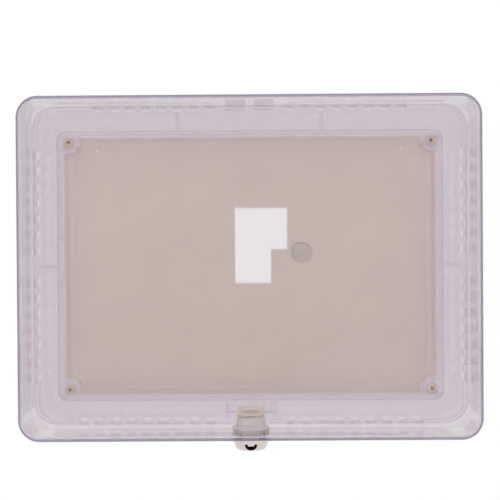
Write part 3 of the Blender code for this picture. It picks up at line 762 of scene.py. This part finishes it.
# %% Ribs, catch shelf, corner pads and tabs
SLOT_PITCH = 0.0109
RIB = 0.0020
PAD_START = 0.1115
PAD_LONG = 0.0290
PAD_WIDE = 0.0056
PAD_HIGH = 0.0012
PAD_GAP = 0.0008
TAB_REACH = 0.0120
TAB_CORNER = 0.0085
TAB_ROUND = 0.0007
TAB_BACK = plate_low[1] - FIT
TAB_FRONT = TAB_BACK - 0.0027
rib_top, rib_bottom = 4.5 * SLOT_PITCH, 1.5 * SLOT_PITCH
extras = []
for side in (-1, 1):
    for name, middle, low_z, high_z in (
        ("rib_top", side * rib_top, window_z + OVER, ring_high[2] - OVER),
        ("rib_bottom", side * rib_bottom, ring_low[2] + OVER, -window_z - OVER),
    ):
        low = (middle - RIB / 2, -INNER_DEPTH - OVER, low_z)
        extras.append(box(name, low, (middle + RIB / 2, -RING_FLOOR / 2, high_z)))
    left, right = sorted((side * (window_x + OVER), side * (ring_high[0] - OVER)))
    low = (left, -INNER_DEPTH - OVER, -RIB / 2)
    extras.append(box("rib_side", low, (right, -RING_FLOOR / 2, RIB / 2)))
    for up in (-1, 1):
        x0, x1 = sorted((side * PAD_START, side * (PAD_START + PAD_LONG)))
        edge = (ring_high[2] if up > 0 else -ring_low[2]) - RING_WALL - PAD_GAP
        z0, z1 = sorted((up * edge, up * (edge - PAD_WIDE)))
        low = (x0, -RING_FLOOR - PAD_HIGH, z0)
        extras.append(box("corner_pad", low, (x1, -RING_FLOOR / 2, z1), PAD_WIDE * 0.45, segments=6))
        xs = sorted((side * (window_x - TAB_REACH), side * (window_x + OVER)))
        zs = sorted((up * (window_z - TAB_REACH), up * (window_z + OVER)))
        tab = box_shape((xs[0], TAB_FRONT, zs[0]), (xs[1], TAB_BACK, zs[1]))
        inner_edges = [
            e
            for e in along(tab, 1)
            if abs(e.verts[0].co.x) < window_x - OVER and abs(e.verts[0].co.z) < window_z - OVER
        ]
        soften(tab, inner_edges, TAB_CORNER, 10)
        face_edges = [
            e
            for e in tab.edges
            if all(v.co.y < TAB_FRONT + 1e-6 for v in e.verts)
            and all(abs(v.co.x) < window_x + 1e-6 or abs(v.co.z) < window_z + 1e-6 for v in e.verts)
        ]
        soften(tab, face_edges, TAB_ROUND, 3)
        extras.append(put("tab", tab))
shelf_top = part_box("lock_cam")[0][2] - 2 * FIT
low = (-rib_bottom, -RING_DEPTH + OVER, shelf_top - RIB)
extras.append(box("catch_shelf", low, (rib_bottom, -RING_FLOOR / 2, shelf_top)))
carve(ring, *extras, how="UNION")
print("ring with", len(extras), "ribs, pads and tabs")

# %% [markdown]
# ## Vent slots round the ring
# A row of equal slots in each wall lets the room's air reach the thermostat. Geometry Nodes suit a
# row like this: a mesh line makes the points, one small box is instanced on each, and a Mesh Boolean
# cuts them all at once. The sizes are inputs of the tree, so one number changes every slot.

# %% Vent slot tree
FIRST_SLOT = 2.5


def row(tree, count, start, step):
    """A mesh line: start and step are lists of three sockets or numbers."""
    line = add_node(tree, "GeometryNodeMeshLine", mode="OFFSET", Count=count)
    for name, values in (("Start Location", start), ("Offset", step)):
        vector = tree.nodes.new("ShaderNodeCombineXYZ")
        for socket, value in zip(vector.inputs, values):
            feed(tree, socket, value)
        tree.links.new(vector.outputs[0], line.inputs[name])
    return line.outputs[0]


vent_tree, gin, gout = new_group(
    "vent_slots",
    "GeometryNodeTree",
    [
        ("Geometry", "NodeSocketGeometry", None),
        ("Pitch", "NodeSocketFloat", SLOT_PITCH),
        ("Slot Width", "NodeSocketFloat", 0.0055),
        ("Slot Length", "NodeSocketFloat", 0.0135),
        ("Slot Depth", "NodeSocketFloat", 0.0060),
        ("Side X", "NodeSocketFloat", 0.1464),
        ("Top Z", "NodeSocketFloat", 0.1081),
        ("Bottom Z", "NodeSocketFloat", 0.1067),
        ("Middle Y", "NodeSocketFloat", -0.01125),
        ("Side Count", "NodeSocketInt", 7),
        ("Top Count", "NodeSocketInt", 8),
        ("Bottom Count", "NodeSocketInt", 9),
        ("Material", "NodeSocketMaterial", None),
    ],
    [("Geometry", "NodeSocketGeometry")],
)
size = gin.outputs
first = math_of(vent_tree, "MULTIPLY", size["Pitch"], FIRST_SLOT)
first_back = math_of(vent_tree, "MULTIPLY", size["Pitch"], -FIRST_SLOT)
back_pitch = math_of(vent_tree, "MULTIPLY", size["Pitch"], -1.0)
left_x = math_of(vent_tree, "MULTIPLY", size["Side X"], -1.0)
low_z = math_of(vent_tree, "MULTIPLY", size["Bottom Z"], -1.0)
side_rows, level_rows = [], []
for x in (left_x, size["Side X"]):
    for pitch in (size["Pitch"], back_pitch):
        start = (x, size["Middle Y"], pitch)
        side_rows.append(row(vent_tree, size["Side Count"], start, (0.0, 0.0, pitch)))
for z, count in ((size["Top Z"], size["Top Count"]), (low_z, size["Bottom Count"])):
    for x, pitch in ((first, size["Pitch"]), (first_back, back_pitch)):
        start = (x, size["Middle Y"], z)
        level_rows.append(row(vent_tree, count, start, (pitch, 0.0, 0.0)))
cutters = add_node(vent_tree, "GeometryNodeJoinGeometry")
for rows_here, order in (
    (side_rows, ("Slot Depth", "Slot Length", "Slot Width")),
    (level_rows, ("Slot Width", "Slot Length", "Slot Depth")),
):
    joined = add_node(vent_tree, "GeometryNodeJoinGeometry")
    for one in reversed(rows_here):
        vent_tree.links.new(one, joined.inputs[0])
    block = vent_tree.nodes.new("ShaderNodeCombineXYZ")
    for socket, name in zip(block.inputs, order):
        vent_tree.links.new(size[name], socket)
    cube = add_node(vent_tree, "GeometryNodeMeshCube", Size=block.outputs[0])
    placed = add_node(vent_tree, "GeometryNodeInstanceOnPoints")
    vent_tree.links.new(joined.outputs[0], placed.inputs["Points"])
    vent_tree.links.new(cube.outputs["Mesh"], placed.inputs["Instance"])
    real = add_node(vent_tree, "GeometryNodeRealizeInstances")
    vent_tree.links.new(placed.outputs[0], real.inputs[0])
    vent_tree.links.new(real.outputs[0], cutters.inputs[0])
slotted = vent_tree.nodes.new("GeometryNodeMeshBoolean")
slotted.operation = "DIFFERENCE"
slotted.solver = "EXACT"
vent_tree.links.new(size["Geometry"], slotted.inputs["Mesh 1"])
vent_tree.links.new(cutters.outputs[0], slotted.inputs["Mesh 2"])
real = add_node(vent_tree, "GeometryNodeRealizeInstances")
vent_tree.links.new(slotted.outputs["Mesh"], real.inputs[0])
painted = add_node(vent_tree, "GeometryNodeSetMaterial", Material=size["Material"])
vent_tree.links.new(real.outputs[0], painted.inputs["Geometry"])
vent_tree.links.new(painted.outputs[0], gout.inputs[0])
print("tree", vent_tree.name, "with", len(vent_tree.nodes), "nodes")

# %% [markdown]
# ## Running a tree on a piece
# A modifier holds the tree and the values of its inputs. Inputs are set by the socket's identifier,
# because a name may be used twice. The result then replaces the piece's mesh and the modifier goes.

# %% Run a tree on a piece
def grow(piece, tree, **values):
    """Runs a Geometry Nodes tree on a piece and keeps the result as its plain mesh."""
    sockets = tree.interface.items_tree
    ids = {item.name: item.identifier for item in sockets if item.in_out == "INPUT"}
    step = piece.modifiers.new(tree.name, "NODES")
    step.node_group = tree
    for name, value in values.items():
        step[ids[name.replace("_", " ")]] = value
    return settle(piece)


faces_before = len(ring.data.polygons)
grow(
    ring,
    vent_tree,
    Side_X=ring_high[0] - RING_WALL / 2,
    Top_Z=ring_high[2] - RING_WALL / 2,
    Bottom_Z=-ring_low[2] - RING_WALL / 2,
    Material=base_plastic,
)
print("vent slots took the ring from", faces_before, "to", len(ring.data.polygons), "faces")

# %% [markdown]
# ## The ring's last cuts and its finishes
# Two slots in the top wall take the cover's hooks, and each tab has a screw hole. Then every face of
# the ring gets one of the five clear finishes, chosen by where the face lies and which way it looks.

# %% Hook slots, screw holes and the ring's finishes
SCREW_INSET = 0.0041
SCREW_HOLE = 0.00225
screw_x = plate_high[0] - SCREW_INSET
screw_z = plate_high[2] - SCREW_INSET + FIT
screw_spots = [(sx * screw_x, sz * screw_z) for sx in (-1, 1) for sz in (1, -1)]
cuts = []
for side in (-1, 1):
    left, right = sorted((side * (HOOK["inner"] - 2 * FIT), side * (HOOK["outer"] + 2 * FIT)))
    low = (left, -0.0085, ring_high[2] - RING_WALL - OVER)
    cuts.append(box("hook_slot", low, (right, -RING_FLOOR / 2, ring_high[2] + OVER)))
for x, z in screw_spots:
    cuts.append(bar("tab_hole", SCREW_HOLE, (x, -RING_DEPTH, z), (x, OVER, z), sides=24))
carve(ring, *cuts)
merge(ring)
RING_FINISHES = (base_plastic, floor_plastic, wall_top_plastic, tab_plastic, lip_highlight_plastic)
dress(ring, "base", "clear_base_plastic", ["ring_base"], *RING_FINISHES, flat_above=0.00006)
tab_x, tab_z = window_x - OVER / 5, window_z - OVER / 5
for face in ring.data.polygons:
    spot = face.center
    level = abs(face.normal.y) > 0.9
    over_plate = abs(spot.x) < tab_x and abs(spot.z) < tab_z
    at_tab = over_plate and TAB_FRONT - 1e-4 < spot.y < TAB_BACK + 1e-4
    if at_tab and face.area < TAB_REACH**2:
        face.material_index = 3
    # The rounded lips of the wall tops take the painted highlight.
    elif spot.y < -RING_DEPTH + LIP_ROUND and 0.15 < abs(face.normal.y) < 0.98:
        face.material_index = 4
    elif level and spot.y > -RING_FLOOR - PAD_HIGH - 1e-5:
        face.material_index = 1
    elif level and spot.y < -INNER_DEPTH + OVER:
        face.material_index = 2
used = [face.material_index for face in ring.data.polygons]
counts = [used.count(i) for i in range(len(RING_FINISHES))]
print("ring faces by finish: wall, floor, wall top, tab, lip", counts)

# %% [markdown]
# ## The wall plate
# The plate is opaque beige plastic. It has a stepped opening for the wires, a round knockout for a
# second cable, and two small pilot marks. Its front edge is slightly rounded all round, which is what
# catches the light just inside the ring.

# %% Plate body and openings
PLATE_THICK = -plate_low[1]
EDGE_ROUND = 0.0005
panel = box_shape(plate_low, plate_high)
soften(panel, along(panel, 1), INNER_CORNER, 8)
face_edges = [e for e in panel.edges if all(v.co.y < -PLATE_THICK + 1e-6 for v in e.verts)]
soften(panel, face_edges, EDGE_ROUND, 3)
plate = put("beige_plate", panel)
PANEL_STEP = 0.0026
GROOVE = 0.0006
frame_line = box(
    "frame_line",
    (plate_low[0] + PANEL_STEP, -PLATE_THICK - OVER, plate_low[2] + PANEL_STEP),
    (plate_high[0] - PANEL_STEP, -PLATE_THICK + GROOVE, plate_high[2] - PANEL_STEP),
    0.0012,
)
inset = PANEL_STEP + GROOVE
frame_inside = box(
    "frame_inside",
    (plate_low[0] + inset, -PLATE_THICK - 2 * OVER, plate_low[2] + inset),
    (plate_high[0] - inset, OVER, plate_high[2] - inset),
    0.0010,
)
carve(frame_line, frame_inside)
WIRE = {"left": -0.0106, "right": 0.0255, "low": -0.0122, "high": 0.0397}
WIRE_STEP = (0.0143, 0.0112)
low = (WIRE["left"], -2 * PLATE_THICK, WIRE["low"])
wire = box("wire_opening", low, (WIRE["right"], PLATE_THICK, WIRE["high"]), 0.0008)
low = (WIRE_STEP[0], -3 * PLATE_THICK, -0.03)
notch = box("wire_notch", low, (0.06, 2 * PLATE_THICK, WIRE_STEP[1]), 0.0016)
carve(wire, notch)
holes = []
for x, z in screw_spots:
    holes.append(bar("plate_hole", SCREW_HOLE, (x, -2 * PLATE_THICK, z), (x, OVER, z), sides=24))
carve(plate, frame_line, wire, *holes)
print("plate with its openings", len(plate.data.polygons), "faces")

# %% [markdown]
# ## Knockout and pilot marks
# The knockout is a shallow dish with a groove round it and three short lines across it, which an
# installer can push out for a second cable; its dish is painted darker as painted shade. The two pilot
# marks are shallow cones that guide a drill, and they are painted pale as a painted highlight.

# %% Knockout and pilot marks
KNOCKOUT = Vector((0.0354, 0.0, 0.0088))
KNOCKOUT_RADIUS = 0.0073
to_front = Matrix.Rotation(math.radians(90), 4, "X")
groove_inside = KNOCKOUT_RADIUS - 0.0007
groove = turned_shape(
    [
        (groove_inside, -0.001),
        (KNOCKOUT_RADIUS, -0.001),
        (KNOCKOUT_RADIUS, 0.0012),
        (groove_inside, 0.0012),
    ],
    (0, 0, 0),
    closed=True,
)
bmesh.ops.transform(groove, matrix=to_front, verts=groove.verts)
to_knockout = Matrix.Translation(KNOCKOUT + Vector((0, -PLATE_THICK, 0)))
bmesh.ops.transform(groove, matrix=to_knockout, verts=groove.verts)
marks = [put("knockout_groove", groove)]
dish = bar(
    "knockout_dish",
    KNOCKOUT_RADIUS - 0.0003,
    KNOCKOUT + Vector((0, -PLATE_THICK - OVER, 0)),
    KNOCKOUT + Vector((0, -PLATE_THICK + 0.0005, 0)),
    sides=48,
)
marks.append(dish)
for line in range(3):
    x = KNOCKOUT.x - 0.0046 + 0.0016 * line
    low = (x - 0.0003, -PLATE_THICK - OVER, KNOCKOUT.z - 0.0045)
    marks.append(box("knockout_line", low, (x + 0.0003, -PLATE_THICK + 0.0010, KNOCKOUT.z + 0.0005)))
MARK = (0.1052, 0.0806)
MARK_RADIUS = 0.0014
for side in (-1, 1):
    place = (side * MARK[0], -PLATE_THICK, MARK[1])
    outline = [(0.0, -0.0008), (MARK_RADIUS, 0.0), (MARK_RADIUS, 0.001), (0.0, 0.001)]
    cone = turned_shape(outline, (0, 0, 0), steps=24)
    bmesh.ops.transform(cone, matrix=Matrix.Translation(place) @ to_front, verts=cone.verts)
    marks.append(put("pilot_mark", cone))
carve(plate, *marks)
merge(plate)
dress(
    plate, "base", "beige_plastic", ["wall_plate"],
    finish["plate_plastic"], finish["knockout_painted_shade"], finish["pilot_mark_highlight"],
    angle=15, flat_above=0.00002,
)
dish_faces = 0
for face in plate.data.polygons:
    away = (face.center - KNOCKOUT).xz.length
    # The dish faces get the painted shade.
    in_dish = away < KNOCKOUT_RADIUS and face.center.y < -0.0005
    beside = math.hypot(abs(face.center.x) - MARK[0], face.center.z - MARK[1])
    # The faces inside a pilot mark get the painted highlight.
    in_mark = beside < MARK_RADIUS and -PLATE_THICK + 1e-5 < face.center.y < -0.001
    face.material_index = 1 if in_dish else (2 if in_mark else 0)
    dish_faces += in_dish
print("knockout faces", dish_faces)

# %% [markdown]
# ## Four corner screws
# The same screw sits in each corner tab. One screw is turned and gets its deep recess, and a small
# Geometry Nodes tree sets a copy on each of four points. All four ride on the same body, so they can
# stay one mesh.

# %% One screw
SCREW_HEAD = 0.0037
SCREW_HIGH = 0.0022
SCREW_SHANK = 0.00195
HEAD_OUTLINE = [
    (0.0, 0.05), (0.26, 0.20), (0.35, 0.90), (0.42, 1.0),
    (0.78, 0.92), (0.93, 0.62), (1.0, 0.30), (0.98, 0.0),
]
screw_outline = [(SCREW_HEAD * across, SCREW_HIGH * up) for across, up in HEAD_OUTLINE]
screw_outline += [(SCREW_SHANK, 0.0), (SCREW_SHANK, TAB_FRONT + SCREW_SHANK * 0.4)]
screw_outline += [(SCREW_SHANK * 0.6, TAB_FRONT), (0.0, TAB_FRONT)]
screw_shape = turned_shape(screw_outline, (0, 0, 0), steps=36)
bmesh.ops.transform(screw_shape, matrix=to_front, verts=screw_shape.verts)
one_screw = put("one_screw", screw_shape)
print("screw outline of", len(screw_outline), "points")

# %% [markdown]
# ## Copies on points
# This tree sets a copy of one object on each point of a mesh, and turns each copy a step further
# than the last. The screws are round, so the turn hardly shows on them, but the washer's teeth use
# the same tree and need it.

# %% Copying tree
copy_tree, gin, gout = new_group(
    "copies_on_points",
    "GeometryNodeTree",
    [
        ("Geometry", "NodeSocketGeometry", None),
        ("Copied Object", "NodeSocketObject", None),
        ("Turn Step", "NodeSocketFloat", 0.0),
        ("Turn Axis", "NodeSocketVector", (0.0, 0.0, 1.0)),
        ("Material", "NodeSocketMaterial", None),
    ],
    [("Geometry", "NodeSocketGeometry")],
)
source = add_node(copy_tree, "GeometryNodeObjectInfo")
copy_tree.links.new(gin.outputs["Copied Object"], source.inputs["Object"])
number = add_node(copy_tree, "GeometryNodeInputIndex")
angle = math_of(copy_tree, "MULTIPLY", number.outputs[0], gin.outputs["Turn Step"])
turns = math_of(copy_tree, "MULTIPLY", gin.outputs["Turn Axis"], angle, kind="ShaderNodeVectorMath")
placed = add_node(copy_tree, "GeometryNodeInstanceOnPoints")
copy_tree.links.new(gin.outputs["Geometry"], placed.inputs["Points"])
copy_tree.links.new(source.outputs["Geometry"], placed.inputs["Instance"])
copy_tree.links.new(turns, placed.inputs["Rotation"])
real = add_node(copy_tree, "GeometryNodeRealizeInstances")
copy_tree.links.new(placed.outputs[0], real.inputs[0])
painted = add_node(copy_tree, "GeometryNodeSetMaterial", Material=gin.outputs["Material"])
copy_tree.links.new(real.outputs[0], painted.inputs["Geometry"])
copy_tree.links.new(painted.outputs[0], gout.inputs[0])
print("tree", copy_tree.name, "with", len(copy_tree.nodes), "nodes")

# %% Four screws
SCREW_TURN = 0.7
spots = bmesh.new()
for x, z in screw_spots:
    spots.verts.new((x, TAB_FRONT - FIT, z))
screws = put("corner_screws", spots)
grow(
    screws,
    copy_tree,
    Copied_Object=one_screw,
    Turn_Step=SCREW_TURN,
    Turn_Axis=(0.0, 1.0, 0.0),
    Material=finish["yellow_zinc"],
)
bpy.data.objects.remove(one_screw, do_unlink=True)
dress(
    screws, "base", "yellow_zinc", [f"corner_screw_{i}" for i in range(1, 5)],
    finish["yellow_zinc"], finish["recess_shadow"],
)
head_front = TAB_FRONT - FIT - SCREW_HIGH
for face in screws.data.polygons:
    away = min(math.hypot(face.center.x - x, face.center.z - z) for x, z in screw_spots)
    in_head = head_front <= face.center.y < TAB_FRONT - FIT
    in_recess = in_head and away < SCREW_HEAD * 0.37
    face.material_index = 1 if in_recess else 0
print("screws at", [(round(x, 4), round(z, 4)) for x, z in screw_spots])

# %% [markdown]
# ## The cam lock
# The lock stands upright through the bottom wall. Its head is a turned knob with a sloping face, its
# barrel is threaded with two flats, and the key's mouth opens on the front slope. The thread is cut
# as fine grooves round the barrel, which at this size look the same as a helix and stay one closed
# surface.

# %% Lock outline
head_low, head_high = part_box("lock_housing")
head_bottom = head_low[2]
barrel_top = head_high[2]
HEAD_RADIUS = head_high[0]
HEAD_HEIGHT = 0.0084
head_top = head_bottom + HEAD_HEIGHT
PLUG_RADIUS = 0.0060
BORE = PLUG_RADIUS + FIT
HEAD_FACE = 0.0083
THREAD_PITCH = 0.0010
THREAD_DEEP = 0.0003
outline = [
    (BORE, head_bottom + 0.0002),
    (HEAD_FACE, head_bottom),
    (HEAD_FACE + 0.0012, head_bottom + 0.0006),
    (HEAD_FACE + 0.0022, head_bottom + 0.0021),
    (HEAD_RADIUS - 0.0014, head_bottom + 0.0042),
    (HEAD_RADIUS - 0.0007, head_bottom + 0.0054),
    (HEAD_RADIUS - 0.0003, head_bottom + 0.0064),
    (HEAD_RADIUS, head_top - 0.0009),
    (HEAD_RADIUS - 0.0001, head_top - 0.0004),
    (HEAD_RADIUS - 0.0005, head_top),
    (BARREL_RADIUS - THREAD_DEEP, head_top),
]
height = head_top + 0.0012
while height < barrel_top - 0.0012:
    outline.append((BARREL_RADIUS - THREAD_DEEP, height))
    outline.append((BARREL_RADIUS, height + THREAD_PITCH * 0.42))
    outline.append((BARREL_RADIUS, height + THREAD_PITCH * 0.58))
    height += THREAD_PITCH
outline += [(BARREL_RADIUS - 0.0003, barrel_top - 0.0006), (BARREL_RADIUS - 0.0007, barrel_top)]
outline += [(BORE, barrel_top)]
print("lock outline of", len(outline), "points")

# %% [markdown]
# ## The lock's flats and its mouth
# The outline spins into one closed body. Two flats are cut along the barrel, to match the hole in the
# cover. The mouth is a round bore at a slant with a flat roof, and a small tongue hangs from the roof.

# %% Lock body
lock = put("lock_body", turned_shape(outline, (0, LOCK_Y, 0), steps=64, closed=True))
cuts = []
for side in (-1, 1):
    near, far = sorted((side * BARREL_FLAT, side * (BARREL_RADIUS + OVER)))
    low = (-0.012, LOCK_Y + near, head_top)
    cuts.append(box("barrel_flat", low, (0.012, LOCK_Y + far, barrel_top + OVER)))
MOUTH_RADIUS = 0.0041
MOUTH_UP = 0.0046
MOUTH_TILT = math.radians(35)
TONGUE_HALF = 0.0021
TONGUE_DROP = 0.0012
mouth_top = head_bottom + MOUTH_UP
mouth = Vector((0, LOCK_Y - HEAD_RADIUS + 0.0021, mouth_top))
mouth_run = Vector((0, -math.cos(MOUTH_TILT), -math.sin(MOUTH_TILT)))
deep, outside = mouth - mouth_run * 0.0022, mouth + mouth_run * 0.01
key_mouth = bar("key_mouth", MOUTH_RADIUS, deep, outside, sides=40)
lip = box("mouth_lip", (-0.02, -0.1, mouth_top), (0.02, 0.0, mouth_top + 0.02))
low = (-TONGUE_HALF, -0.1, mouth_top - TONGUE_DROP)
tongue = box("mouth_tongue", low, (TONGUE_HALF, 0.0, mouth_top + OVER))
cuts.append(carve(key_mouth, lip, tongue))
carve(lock, *cuts)
merge(lock)
LOCK_FINISHES = ("bright_nickel", "barrel_nickel", "keyhole_painted_shade", "recess_shadow")
dress(lock, "cover", "nickel", ["lock_housing"], *[finish[name] for name in LOCK_FINISHES], angle=24)


def head_radius(height):
    """The head's own outline at a height."""
    for (r0, z0), (r1, z1) in zip(outline[1:9], outline[2:10]):
        if z0 <= height <= z1:
            return r0 + (r1 - r0) * (height - z0) / (z1 - z0)
    return BORE


for face in lock.data.polygons:
    reach = face.center - mouth
    from_axis = math.hypot(face.center.x, face.center.y - LOCK_Y)
    off_axis = (reach - mouth_run * reach.dot(mouth_run)).length
    under_skin = BORE < from_axis < head_radius(face.center.z) - 0.0003
    # The key's mouth is painted near black as painted shade.
    in_mouth = under_skin and off_axis < MOUTH_RADIUS + 1e-5
    # Painted shade: the head's top, which sits in shade under the cover's rim.
    under_rim = abs(face.center.z - head_top) < 0.0006 and abs(face.center.x) > BARREL_RADIUS / 2
    plain = 1 if face.center.z > head_top - 1e-5 else 0
    face.material_index = 2 if in_mouth else (3 if under_rim else plain)
print("lock body from", round(head_bottom, 4), "to", round(barrel_top, 4))

# %% [markdown]
# ## Nut and toothed washer
# A thin hexagon nut clamps the barrel to the wall. The washer under it has a ring of small teeth that
# bite into the plastic, set round it by the same copying tree as the screws.

# %% Nut
nut_low, nut_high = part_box("lock_nut")
NUT_CORNER = nut_high[0]
NUT_FLAT = NUT_CORNER * math.cos(math.radians(30))
bottom, top = (0, LOCK_Y, nut_low[2]), (0, LOCK_Y, nut_high[2])
nut = bar("hexagon_nut", NUT_CORNER, bottom, top, sides=6, turn=math.radians(30))
crown = turned_shape(
    [
        (0.0, nut_high[2]),
        (NUT_FLAT - 0.0002, nut_high[2]),
        (NUT_FLAT + 0.0004, nut_high[2] - 0.0002),
        (NUT_CORNER + OVER, nut_high[2] - 0.0012),
        (NUT_CORNER + OVER, nut_low[2] + 0.0003),
        (NUT_FLAT, nut_low[2]),
        (0.0, nut_low[2]),
    ],
    (0, LOCK_Y, 0),
    steps=72,
)
carve(nut, put("crown", crown), how="INTERSECT")
bottom, top = (0, LOCK_Y, nut_low[2] - OVER), (0, LOCK_Y, nut_high[2] + OVER)
carve(nut, bar("nut_bore", bore, bottom, top, sides=48))
merge(nut)
dress(nut, "cover", "nickel", ["lock_nut"], finish["barrel_nickel"])

# %% [markdown]
# ## Teeth round a ring
# One tooth is a small block, tilted and narrowed to its tip. The copying tree sets twenty of them
# round the ring, each a twentieth of a turn further, and a Boolean joins them and the ring.

# %% Toothed washer
TEETH = 20
TOOTH_LONG = 0.0013
TOOTH_TILT = math.radians(14)
washer_low, washer_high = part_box("lock_washer")
band = washer_high[0] - TOOTH_LONG
thick = washer_high[2] - washer_low[2]
washer_ring = turned_shape(
    [(bore, washer_low[2]), (band, washer_low[2]), (band, washer_high[2]), (bore, washer_high[2])],
    (0, LOCK_Y, 0),
    closed=True,
)
tooth_shape = box_shape((-0.0002, -0.0006, -thick / 2), (0.00125, 0.0006, thick / 2))
tilt = Matrix.Rotation(TOOTH_TILT, 4, "X")
bmesh.ops.transform(tooth_shape, matrix=tilt, verts=tooth_shape.verts)
for corner in tooth_shape.verts:
    corner.co.z = max(-thick / 2, min(thick / 2, corner.co.z))
    if corner.co.x > 0.0005:
        corner.co.y *= 0.7
one_tooth = put("one_tooth", tooth_shape)
spots = bmesh.new()
for k in range(TEETH):
    angle = 2 * math.pi * k / TEETH
    x, y = band * math.cos(angle), LOCK_Y + band * math.sin(angle)
    spots.verts.new((x, y, (washer_low[2] + washer_high[2]) / 2))
washer = put("toothed_washer", spots)
grow(
    washer,
    copy_tree,
    Copied_Object=one_tooth,
    Turn_Step=2 * math.pi / TEETH,
    Turn_Axis=(0.0, 0.0, 1.0),
    Material=finish["spring_steel"],
)
bpy.data.objects.remove(one_tooth, do_unlink=True)
carve(washer, put("washer_ring", washer_ring), how="UNION")
merge(washer)
dress(washer, "cover", "spring_steel", ["lock_washer"], finish["spring_steel"])

# %% [markdown]
# ## The cam and its screw
# The cam is a stamped steel tongue that turns with the plug and reaches under the catch in the ring.
# A stamping has a crisp flat face with a slightly rolled edge, so a small bevel all round is enough.

# %% Cam
cam_low, cam_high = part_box("lock_cam")
CAM_WIDTH = cam_high[0] - cam_low[0]
cam_shape = box_shape(cam_low, cam_high)
near_edges = [e for e in along(cam_shape, 2) if e.verts[0].co.y < LOCK_Y]
soften(cam_shape, near_edges, CAM_WIDTH * 0.46, 14)
far_edges = [e for e in along(cam_shape, 2) if e.verts[0].co.y > cam_high[1] - 1e-5]
soften(cam_shape, far_edges, CAM_WIDTH * 0.18, 8)
rolled = [e for e in cam_shape.edges if abs(e.verts[0].co.z - e.verts[1].co.z) < 1e-7]
soften(cam_shape, rolled, 0.0003, 2)
cam = put("turning_cam", cam_shape)
half = 0.0035 + FIT
low = (-half, LOCK_Y - half, cam_low[2] - OVER)
carve(cam, box("cam_square", low, (half, LOCK_Y + half, cam_high[2] + OVER)))
merge(cam)
dress(cam, "plug", "cam_plating", ["lock_cam"], finish["cam_plating"])

# %% [markdown]
# ## The screw that holds the cam
# A small domed screw holds the cam on the end of the plug. Its head is turned from an outline, and
# two thin blocks cut its cross recess.

# %% Cam screw
bolt_low, bolt_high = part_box("cam_screw")
BOLT_HEAD = bolt_high[0]
BOLT_SHANK = 0.0019
bolt_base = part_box("cam_washer")[1][2] + FIT
bolt_rise = bolt_high[2] - bolt_base
BOLT_OUTLINE = [(0.60, 1.0), (0.80, 0.93), (0.93, 0.72), (1.0, 0.4)]
bolt_points = [(0.0, bolt_high[2])]
bolt_points += [(BOLT_HEAD * across, bolt_base + bolt_rise * up) for across, up in BOLT_OUTLINE]
bolt_points += [(BOLT_HEAD, bolt_base), (BOLT_SHANK, bolt_base), (BOLT_SHANK, bolt_low[2] + 0.0008)]
bolt_points += [(BOLT_SHANK * 0.6, bolt_low[2]), (0.0, bolt_low[2])]
bolt = put("cam_bolt", turned_shape(bolt_points, (0, LOCK_Y, 0), steps=40))
arm, blade = BOLT_HEAD * 0.55, BOLT_HEAD * 0.14
cross = []
for wide, deep in ((arm, blade), (blade, arm)):
    low = (-wide, LOCK_Y - deep, bolt_base + bolt_rise * 0.35)
    cross.append(box("cross", low, (wide, LOCK_Y + deep, bolt_high[2] + OVER)))
carve(bolt, *cross)
merge(bolt)
dress(bolt, "plug", "nickel", ["cam_screw"], finish["cam_plating"])

# %% [markdown]
# ## Parts that keep their CAD shape
# The plug, its clip and the five wafers sit inside the lock, and the small washer lies under the cam's
# screw. They hardly show, so they keep their CAD shapes and only get a real finish.

# %% Finish the carried-over parts
KEPT = {
    "bright_nickel": ["lock_plug"],
    "spring_steel": ["cam_washer", "plug_clip"],
    "stamped_brass": [f"wafer_{i}" for i in range(1, 6)],
}
for name, kept in KEPT.items():
    for node in kept:
        data = nodes[node].data
        data.materials.clear()
        data.materials.append(finish[name])
print("finished CAD parts", sum(len(kept) for kept in KEPT.values()))

# %% [markdown]
# ## Sizes and the last line
# The visual model must stay inside the CAD model's box. The last line prints the box round the visual
# model.

# %% Print the visual box
low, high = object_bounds()
print("visual box", [round(v, 4) for v in (*low, *high)])
